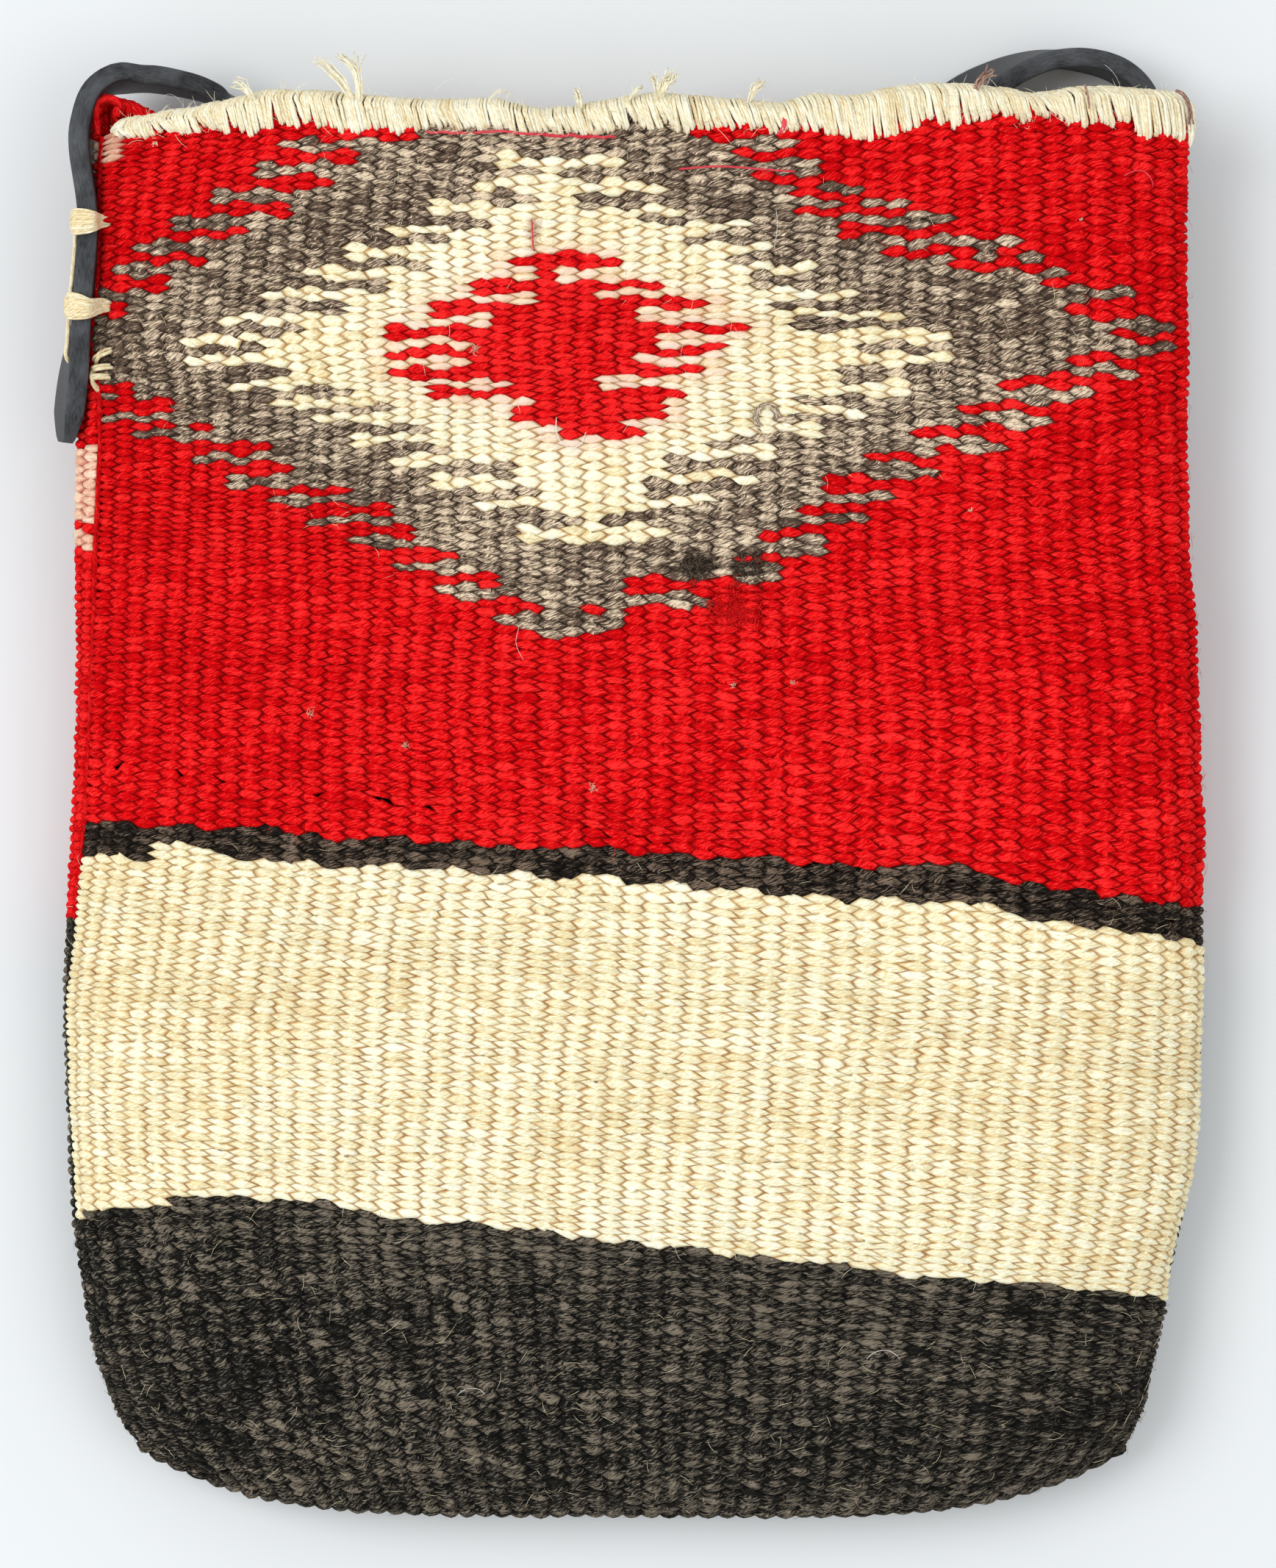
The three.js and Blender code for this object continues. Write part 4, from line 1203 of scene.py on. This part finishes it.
def overcast(name, back):
    """The strands over one edge of the mouth."""
    paths = []
    radii = []
    for low, high in zip(bundle_px, bundle_px[1:]):
        if back and low < BACK_OVERCAST_PX:
            continue
        slant = rng.normal(*SLANT_PX)
        drop = rng.normal(0, DROP_UNEVEN_PX)
        full = rng.uniform(*FULLNESS)
        for loop in range(LOOPS):
            loop_place = (loop + 0.5) / LOOPS
            loop_lean = slant + rng.normal(0, LOOP_LEAN_PX)
            loop_drop = drop + rng.normal(0, LOOP_DROP_PX)
            loop_drop += LOOP_BOW * (1 - (2 * loop_place - 1) ** 2) - LOOP_RISE
            for n in range(LOOP_STRANDS):
                off = (n + 0.5) / LOOP_STRANDS - 0.5
                middle = 1 - abs(3 * off)
                place = loop_place + off / LOOPS
                foot_place = loop_place + LOOP_GATHER * off / LOOPS
                px = low + (high - low) * place + rng.normal(0, TOP_UNEVEN_PX)
                foot_px = low + (high - low) * foot_place + loop_lean + rng.normal(0, FOOT_UNEVEN_PX[0])
                foot_row = mouth_foot_px(foot_px) + loop_drop + LOOP_ROUND * middle
                foot_row += rng.normal(0, FOOT_UNEVEN_PX[1])
                reach = mouth_line(photo_x(foot_px, FRONT_LEVEL)) - photo_y(foot_row, FRONT_LEVEL)
                if back:
                    reach = BACK_REACH + BACK_FOLLOW * loop_drop + LOOP_ROUND * PIXEL * middle
                bulge = (1 - BUNDLE_ROUND * (2 * place - 1) ** 2) * full + LOOP_SWELL * middle
                bulge += rng.normal(0, LIFT_UNEVEN)
                reach = max(reach, LEAST_REACH)
                paths.append(overcast_strand(back, px, foot_px, reach, bulge, full, slant))
                radii.append(rng.uniform(*YARN_RADII))
    paths = catmull(paths, 2)
    girth = np.ones(paths.shape[1])
    girth[[0, -1]] = YARN_ENDS
    # Painted shade at the strands' feet and inside the mouth, and on their flanks
    tone = np.ones(paths.shape[1])
    tone[:len(FOOT_TONES)] = FOOT_TONES
    tone[-len(INNER_TONES):] = INNER_TONES
    shade = rng.normal(*YARN_SHADE, len(paths))
    radius = np.array(radii)[:, None] * girth[None]
    piece = tubes(name, paths, radius, [yarn_wool], 5, shade=shade, height=tone, crease=(1, 0, 0))
    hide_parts("mouth_overcast")


def corner_binding():
    """Red strands that bind the back panel's upper left corner."""
    paths = []
    for u in np.linspace(*CORNER_SHARES, CORNER_STRANDS):
        lift = rng.normal(*BINDING_FULL)
        outer_q = cloth_length - np.array(OUTER_DOWNS)
        outer, normal = outside.read(outer_q, np.full(4, u) + rng.normal(0, 0.001))
        outer = outer + normal * np.array(OUTER_LIFTS)[:, None] * lift
        inner, inner_normal = inside.read(inside.way[-1] - np.array(LINED_DOWNS), np.full(2, u))
        inner = inner - inner_normal * np.array(LINED_LIFTS)[:, None]
        crown = (outer[-1] + inner[0]) / 2
        crown[1] += BINDING_RISE * lift
        paths.append(np.concatenate([outer, crown[None], inner]))
    radius = rng.uniform(*CORNER_RADII, len(paths))[:, None]
    # Painted shade on the flanks between the binding's strands
    piece = tubes("corner_binding", catmull(paths, 3), radius, [red_wool], 8, crease=(1, 0, 0))


bundle_px = np.linspace(*MOUTH_PX, BUNDLES + 1)
bundle_px[1:-1] += rng.normal(0, BUNDLE_JITTER, BUNDLES - 1)
overcast("overcast_front", False)
overcast("overcast_back", True)
corner_binding()


# Strap

def strap_route():
    """Centre line and lean of the strap, as in the part."""
    def beside(down, lean):
        edge = float(centre_at(down)) - float(width_at(down)) / 2
        x = edge - RIB_HEIGHT - CLEARANCE - STRAP_THICKNESS / 2
        tip = STRAP_WIDTH / 2 * math.sin(math.radians(lean))
        level = float(underside_at(down)) + float(thickness_at(down)) / 2
        return (x - LEAN_OUT * tip, MOUTH_Y - down, level, lean)

    def on_table(x, y, lean):
        turn = math.radians(lean)
        tall = STRAP_WIDTH * math.cos(turn) + STRAP_THICKNESS * math.sin(turn)
        return (x, y, TABLE_GAP + tall / 2, lean)

    return np.array([beside(*p) for p in STRAP_LEFT] + STRAP_AIR + [on_table(*p) for p in STRAP_TABLE])


class Strap:
    """Places along the strap: centre, and the ways along, wide and thick."""

    def __init__(self):
        path = catmull(strap_route()[None, :, :], 12)[0]
        self.centre = path[:, :3]
        self.lean = np.radians(path[:, 3])
        self.way = running(np.linalg.norm(np.diff(self.centre, axis=0), axis=1))
        self.length = self.way[-1]

    def middle(self, at):
        """Points on the centre line at distances along it."""
        return np.stack([np.interp(at, self.way, self.centre[:, k]) for k in range(3)], axis=-1)

    def read(self, at):
        """Centre, and the ways along, wide and thick, at distances along the strap."""
        tangent = unit(self.middle(at + LOOK_AHEAD) - self.middle(at - LOOK_AHEAD))
        right = unit(np.cross(tangent, [0.0, 0.0, 1.0]))
        upright = np.cross(right, tangent)
        lean = np.interp(at, self.way, self.lean)[..., None]
        wide = upright * np.cos(lean) + right * np.sin(lean)
        thick = right * np.cos(lean) - upright * np.sin(lean)
        return self.middle(at), tangent, wide, thick

    def at_y(self, y, from_start):
        """Distance along one end run where the strap crosses y."""
        run = slice(0, 50) if from_start else slice(len(self.way) - 50, len(self.way))
        order = np.argsort(self.centre[run, 1])
        return float(np.interp(y, self.centre[run, 1][order], self.way[run][order]))


def strap_section():
    """Outline of the strap with soft corners: places wide and thick, and 1 on the cut edges."""
    half_w = STRAP_WIDTH / 2
    half_t = STRAP_THICKNESS / 2
    points = [(across * (half_w - STRAP_CORNER), -half_t, 0) for across in np.linspace(-1, 1, 11)]

    def corner(degrees, middle):
        turn = math.radians(degrees)
        wide = half_w - STRAP_CORNER + STRAP_CORNER * math.cos(turn)
        points.append((wide, middle + STRAP_CORNER * math.sin(turn), 1))

    corner(-60, STRAP_CORNER - half_t)
    corner(-30, STRAP_CORNER - half_t)
    for across in np.linspace(-0.6, 0.6, 5):
        points.append((half_w + STRAP_CROWN * math.cos(across * 2.4), across * half_t, 1))
    corner(30, half_t - STRAP_CORNER)
    corner(60, half_t - STRAP_CORNER)
    half = np.array(points)
    return np.concatenate([half, half * (-1, -1, 1)])


def make_strap():
    """The leather strap, with tapered tips and rough cut edges."""
    section = strap_section()
    at = np.linspace(0, strap_line.length, STRAP_STEPS)
    centre, _, wide, thick = strap_line.read(at)
    ends = np.minimum(at, strap_line.length - at)
    narrow = np.clip(ends / STRAP_TAPER, 0, 1)
    width = (TIP_WIDTH + (STRAP_WIDTH - TIP_WIDTH) * np.sqrt(narrow * (2 - narrow))) / STRAP_WIDTH
    thin = TIP_THIN + (1 - TIP_THIN) * np.clip(ends / TIP_LENGTH, 0, 1)
    wave = sum(height * np.sin(at / length + start) for height, length, start in RIM_WAVES)
    count = len(section)
    w = section[None, :, 0] * width[:, None]
    rim = np.clip((np.abs(section[:, 0]) - STRAP_WIDTH / 2 + RIM_WIDTH) / RIM_WIDTH, 0, 1)
    w = w + rim[None] * np.sign(section[None, :, 0]) * wave[:, None]
    w = w + rng.normal(0, EDGE_ROUGHNESS, w.shape) * (section[None, :, 2] > 0)
    t = section[None, :, 1] * thin[:, None]
    points = centre[:, None] + wide[:, None] * w[..., None] + thick[:, None] * t[..., None]
    points[..., 2] = np.maximum(points[..., 2], STRAP_CLEAR)
    triangles = []
    slots = []
    for k in range(STRAP_STEPS - 1):
        for j in range(count):
            j2 = (j + 1) % count
            a, b = k * count + j, k * count + j2
            c, d = a + count, b + count
            triangles += [(a, b, d), (a, d, c)]
            slots += [1 if section[j, 2] > 0 or section[j2, 2] > 0 else 0] * 2
    last = (STRAP_STEPS - 1) * count
    for j in range(1, count - 1):
        triangles += [(0, j + 1, j), (last, last + j, last + j + 1)]
        slots += [1, 1]
    around = running(np.linalg.norm(np.diff(section[:, :2], axis=0), axis=1))
    uv = np.stack([np.repeat(at, count), np.tile(around, STRAP_STEPS)], axis=-1)
    piece = add_mesh("strap_leather", points, triangles, [leather, leather_edge], slots, uv)
    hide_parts("strap")


strap_line = Strap()
make_strap()


# Lashings: strands from the cloth, over the strap's upper edge, down its outer face and into its hole

def front_point(x, y, lift):
    """A point on the front cloth at x, y, raised by lift."""
    q = MOUTH_Y - y
    for _ in range(4):
        q += outside.read(q, share_across(x, q))[0][1] - y
    point, normal = outside.read(q, share_across(x, q))
    return point + normal * lift


def over_strap(at, aside, rise, way):
    """Points of one strand over the strap, whose place in its tie is aside along the strap."""
    centre, tangent, wide, thick = strap_line.read(at + aside)
    points = []
    for up, up_share, face, out, out_share, drawn in way:
        height = STRAP_WIDTH / 2 + up + up_share * rise
        off = face * STRAP_THICKNESS / 2 + out + out_share * rise
        points.append(centre + wide * height - thick * off - drawn * aside * tangent)
    return points


def left_tie(down, cloth_px, spread):
    """Strands of one tie at the left seam: a rounded bundle that narrows to its end in the cloth."""
    y = MOUTH_Y - down
    at = strap_line.at_y(y, True)
    paths = []
    for share in (np.arange(TIE_STRANDS) + 0.5) / TIE_STRANDS - 0.5:
        rise = TIE_RISE * math.sqrt(max(0.0, 1 - (TIE_ROUND * share) ** 2)) + 0.08 * rng.normal()
        cloth_x = photo_x(cloth_px + rng.normal(0, 1.5), TIE_LEVEL)
        near_x = photo_x(cloth_px - 5, TIE_LEVEL)
        cloth = [
            front_point(cloth_x, y + share * 1.8, -0.2),
            front_point(near_x, y + share * 2.6, 1.0 + 0.7 * rise),
        ]
        paths.append(cloth + over_strap(at, share * spread, rise, LEFT_WAY))
    return paths


def right_tie(down):
    """Strands of one tie at the right seam, from the cloth's edge to the strap below it."""
    at = strap_line.at_y(MOUTH_Y - down, False)
    edge = ring(down, np.array([0.515]))[0]
    paths = []
    for share in (np.arange(RIGHT_STRANDS) + 0.5) / RIGHT_STRANDS - 0.5:
        aside = share * RIGHT_SPREAD
        centre, _, wide, thick = strap_line.read(at + aside)
        start = np.array([edge[0] - 0.4, centre[1], edge[2]])
        top = centre + wide * STRAP_WIDTH / 2 - thick * (STRAP_THICKNESS / 2 + 1.2)
        cloth = [start, start + np.array([0.9, 0, -1.0]), (start + top) / 2 + np.array([0.5, 0, 0])]
        paths.append(cloth + over_strap(at, aside, 0.0, RIGHT_WAY))
    return paths


def running_cord(from_start, bow):
    """Strands on the strap's outer face, from hole to hole, bowed up between them."""
    holes = [strap_line.at_y(MOUTH_Y - down, from_start) for down in TIE_DOWNS]
    paths = []
    for first, second in zip(holes, holes[1:]):
        for k in range(CORD_STRANDS):
            run = []
            for share in np.linspace(0, 1, 8):
                centre, _, wide, thick = strap_line.read(first + (second - first) * share)
                lift = 0.55 if 0.05 < share < 0.95 else -0.6
                rise = bow * math.sin(math.pi * share) + (k - 1) * CORD_SPACING
                height = STRAP_WIDTH / 2 - HOLE_DEPTH + rise
                run.append(centre + wide * height - thick * (STRAP_THICKNESS / 2 + lift))
            paths.append(run)
    return paths


def star_tie():
    """The third left tie: a small star of doubled stitches on the cloth beside the strap."""
    paths = []
    for (x0, y0), (x1, y1) in STAR_STITCHES:
        for aside in (-0.5, 0.5):
            stitch = []
            for share, lift in zip(np.linspace(0, 1, len(STAR_LIFTS)), STAR_LIFTS):
                x = photo_x(x0 + (x1 - x0) * share + aside * 3.0, STAR_LEVEL)
                y = photo_y(y0 + (y1 - y0) * share + aside * 3.5, STAR_LEVEL)
                stitch.append(front_point(x, y, lift))
            paths.append(stitch)
    return paths


def lash(name, node, paths, radii, tips):
    """One lashing of cord strands, whose tips have a share of their thickness."""
    paths = catmull(paths, 3)
    girth = np.ones(paths.shape[1])
    girth[[0, -1]] = tips
    radius = rng.uniform(*radii, len(paths))[:, None] * girth[None]
    # Painted shade on the flanks between the cord's strands
    piece = tubes(name, paths, radius, [cord_wool], 6, crease=(0, 1, 0))
    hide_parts(node)


left_paths = [path for tie in LEFT_TIES for path in left_tie(*tie)]
left_paths += running_cord(True, CORD_BOW) + star_tie()
lash("lashing_left", "left_lashing", left_paths, LEFT_RADII, TIP_SHARE)
right_paths = [path for down in TIE_DOWNS for path in right_tie(down)]
right_paths += running_cord(False, 0.0)
lash("lashing_right", "right_lashing", right_paths, RIGHT_RADII, 1.0)


def seam_cord():
    """Left seam: short lengths of one cord of yarn that the two panels are caught to."""
    downs = np.linspace(1.0, 200.0, 160)
    at = along_at(downs)
    point, normal = outside.read(at, np.zeros(len(at)))
    path = point + normal * (0.05 + 0.12 * np.sin(downs * 3.1))[:, None]
    starts = range(0, len(downs) - 1, 3)
    slots = np.where(downs[starts] < SEAM_DARK_DOWN, RED, BLACK)
    parts = np.array([path[k:k + 4] for k in starts])
    # A little painted crevice shade along the seam cord
    tubes("seam_cord", parts, 0.62, CLOTH_MATERIALS, 6, slots=slots, height=0.4)


seam_cord()


# Fuzz: loose fibres of the yarn

def fuzz(name, count, low, high, lift, pale):
    """Short fibres that lie on the outside of the cloth, most of them across it."""
    q = rng.uniform(low, high, count)
    u = rng.uniform(0.0, 1.0, count)
    u = np.where(rng.random(count) < SIDE_FIBRES, np.round(u), u)
    point, normal = outside.read(q, u)
    ahead = outside.read(q, np.clip(u + BESIDE, 0, 1))[0]
    across = unit(ahead - outside.read(q, np.clip(u - BESIDE, 0, 1))[0])
    along = np.cross(normal, across)
    turn = rng.normal(0, FIBRE_TURN, count) + math.pi * (rng.random(count) < 0.5)
    way = across * np.cos(turn)[:, None] + along * np.sin(turn)[:, None]
    side = np.cross(normal, way)
    length = rng.uniform(*FIBRE_LENGTHS, count)
    bend = rng.normal(0, FIBRE_BEND, count)
    rise = rng.uniform(*FIBRE_RISES, count) * lift
    steps = []
    for share in np.linspace(0, 1, FIBRE_POINTS):
        reach = (length * share)[:, None]
        sweep = (bend * length * share ** 2 * FIBRE_SWEEP)[:, None]
        up = (FIBRE_BASE + rise * math.sin(share * FIBRE_ARC))[:, None]
        steps.append(point + way * reach + side * sweep + normal * up)
    paths = np.stack(steps, axis=1)
    paths[..., 2] = np.maximum(paths[..., 2], FLOOR_CLEAR)
    colour = yarn_at(point, q)[0]
    lighter = (rng.random(count) < pale) & np.isin(colour, (GREY, BROWN, BLACK))
    slots = np.where(lighter, CREAM, colour)
    shade = np.clip(rng.normal(*FIBRE_SHADE, count), 0, 1) - PALE_FIBRE_SHADE * lighter
    tubes(name, paths, FIBRE_RADII, CLOTH_MATERIALS, 3, slots=slots, shade=shade)


def edge_fuzz(count):
    """Fine fibres that stand off the overcast edge."""
    steps = np.linspace(0, 1, FIBRE_POINTS)[:, None]
    paths = []
    for px in rng.uniform(MOUTH_PX[0] + 10, MOUTH_PX[1] - 10, count):
        q = rng.uniform(-1.2, 5.5)
        point, normal = outside.read(max(q, 0.0), share_across(photo_x(px, FRONT_LEVEL), 1.0))
        point = point + normal * 1.5
        point[1] += max(-q, 0.0)
        way = np.array([rng.normal(0, 1), rng.normal(0.7, 0.8), rng.normal(0.1, 0.3)])
        way = unit(way) * rng.uniform(1.0, 3.4)
        curl = np.array([rng.normal(0, 0.8), rng.normal(0, 0.8), rng.uniform(-0.4, 0.5)])
        paths.append(point + way * steps + curl * steps ** 2 + normal * 0.4 * np.sin(2.5 * steps))
    tubes("fuzz_mouth", paths, EDGE_FIBRE_RADII, [yarn_wool], 3)


fuzz("fuzz_front", 3400, 2.0, front_length, 0.8, 0.25)
fuzz("fuzz_back", 900, front_length, cloth_length - 3.0, 0.5, 0.3)
edge_fuzz(650)


# Loose ends of yarn on the mouth edge, stray threads and felted spots

def strand_group(name, groups, material):
    """Loose strands given by photograph points, heights, strands, radius and spread."""
    paths = []
    radii = []
    for points, heights, count, radius, spread in groups:
        base = np.array([(photo_x(px, z), photo_y(py, z), z) for (px, py), z in zip(points, heights)])
        for _ in range(count):
            fan = np.linspace(0.25, 1.0, len(points))[:, None] * rng.normal(0, spread, 3)[None]
            curl = rng.normal(0, 0.5 * spread, base.shape) * np.linspace(0, 1, len(points))[:, None]
            paths.append(base + fan + curl)
            radii.append(radius * rng.uniform(0.7, 1.1))
    paths = catmull(paths, 3)
    radius = np.array(radii)[:, None] * np.linspace(1.0, 0.6, paths.shape[1])[None]
    tubes(name, paths, radius, [material], 5)


def cloth_threads(name, groups, material):
    """Threads lying on the front, given by photograph points, strands and radius."""
    paths = []
    radii = []
    for points, count, radius in groups:
        for _ in range(count):
            aside = rng.normal(0, 1.6, 2) * (count > 1)
            path = []
            for (px, py), lift in zip(points, THREAD_LIFTS):
                x = photo_x(px + aside[0], FRONT_LEVEL)
                y = photo_y(py + aside[1], FRONT_LEVEL)
                path.append(front_point(x, y, lift))
            paths.append(path)
            radii.append(radius * rng.uniform(0.85, 1.15))
    tubes(name, catmull(paths, 4), np.array(radii)[:, None], [material], 5)


def tufts(name, places):
    """Felted spots on the front: short fibres lying every way round a place."""
    paths = []
    slots = []
    for px, py, wide, tall, count, length, slot in places:
        for _ in range(count):
            x = photo_x(px + wide * rng.normal(0, 0.42), FELT_LEVEL)
            y = photo_y(py + tall * rng.normal(0, 0.42), FELT_LEVEL)
            turn = rng.uniform(0, 2 * math.pi)
            bend = rng.normal(0, 1.6)
            lift = rng.uniform(0.1, 0.6)
            fibre = []
            for share in np.linspace(0, 1, FIBRE_POINTS):
                way = turn + bend * share
                reach = length * share * rng.uniform(0.8, 1.2)
                up = 0.7 + lift * math.sin(math.pi * (0.15 + 0.75 * share))
                fibre.append(front_point(x + reach * math.cos(way), y + reach * math.sin(way), up))
            paths.append(fibre)
            slots.append(slot)
    radius = rng.uniform(0.04, 0.09, len(paths))[:, None] * np.array([1.0, 1.0, 0.9, 0.6])[None]
    tubes(name, paths, radius, CLOTH_MATERIALS, 3, slots=slots)


tufts("felted_spots", FELTED_SPOTS)
strand_group("loose_ends", LOOSE_ENDS, yarn_wool)
cloth_threads("red_threads", RED_THREADS, thread_red)
cloth_threads("cloth_hairs", CLOTH_HAIRS, hair_white)
cloth_threads("cloth_loops", CLOTH_LOOPS, grey_wool)
strand_group("stray_hairs", STRAY_HAIRS, hair_white)
strand_group("brown_ends", BROWN_ENDS, thread_brown)

# Floor, light and camera
floor_mesh = bpy.data.meshes.new("floor")
floor_mesh.from_pydata(
    [(-FLOOR, -FLOOR, 0), (FLOOR, -FLOOR, 0), (FLOOR, FLOOR, 0), (-FLOOR, FLOOR, 0)], [], [(0, 1, 2, 3)]
)
floor = bpy.data.objects.new("floor", floor_mesh)
bpy.context.scene.collection.objects.link(floor)
table = Net("pale_table")
table.join(table.shader, {"Base Color": linear(FLOOR_COLOUR), "Roughness": 0.8, "Specular IOR Level": 0.1})
floor_mesh.materials.append(table.material)

world = bpy.data.worlds.new("soft_room")
bpy.context.scene.world = world
world.use_nodes = True
sky = world.node_tree.nodes["Background"]
sky.inputs["Color"].default_value = (1.0, 1.0, 1.0, 1.0)
sky.inputs["Strength"].default_value = 0.85


def lamp(name, place, size, power):
    """A large soft lamp that faces the bag."""
    data = bpy.data.lights.new(name, "AREA")
    data.shape = "DISK"
    data.size = size
    data.energy = power
    light = bpy.data.objects.new(name, data)
    bpy.context.scene.collection.objects.link(light)
    light.location = place
    x, y, z = place
    light.rotation_euler = (math.atan2(math.hypot(x, y), z), 0, math.atan2(x, -y))


lamp("window", (-0.9, 0.25, 1.5), 1.0, 15.5)
lamp("fill", (0.8, -0.3, 1.6), 1.2, 5.5)

camera_data = bpy.data.cameras.new("camera")
camera_data.sensor_fit = "AUTO"
camera_data.sensor_width = SENSOR_WIDTH
camera_data.lens = SENSOR_WIDTH * (CAMERA_HEIGHT - SCALE_LEVEL) / (PHOTO_HEIGHT * PIXEL)
camera_data.clip_start = 0.05
camera = bpy.data.objects.new("camera", camera_data)
bpy.context.scene.collection.objects.link(camera)
camera.location = (photo_x(PHOTO_WIDTH / 2) * MM, photo_y(PHOTO_HEIGHT / 2) * MM, CAMERA_HEIGHT * MM)
camera.rotation_euler = (0, 0, 0)
bpy.context.scene.camera = camera
bpy.context.scene.view_settings.view_transform = "Standard"
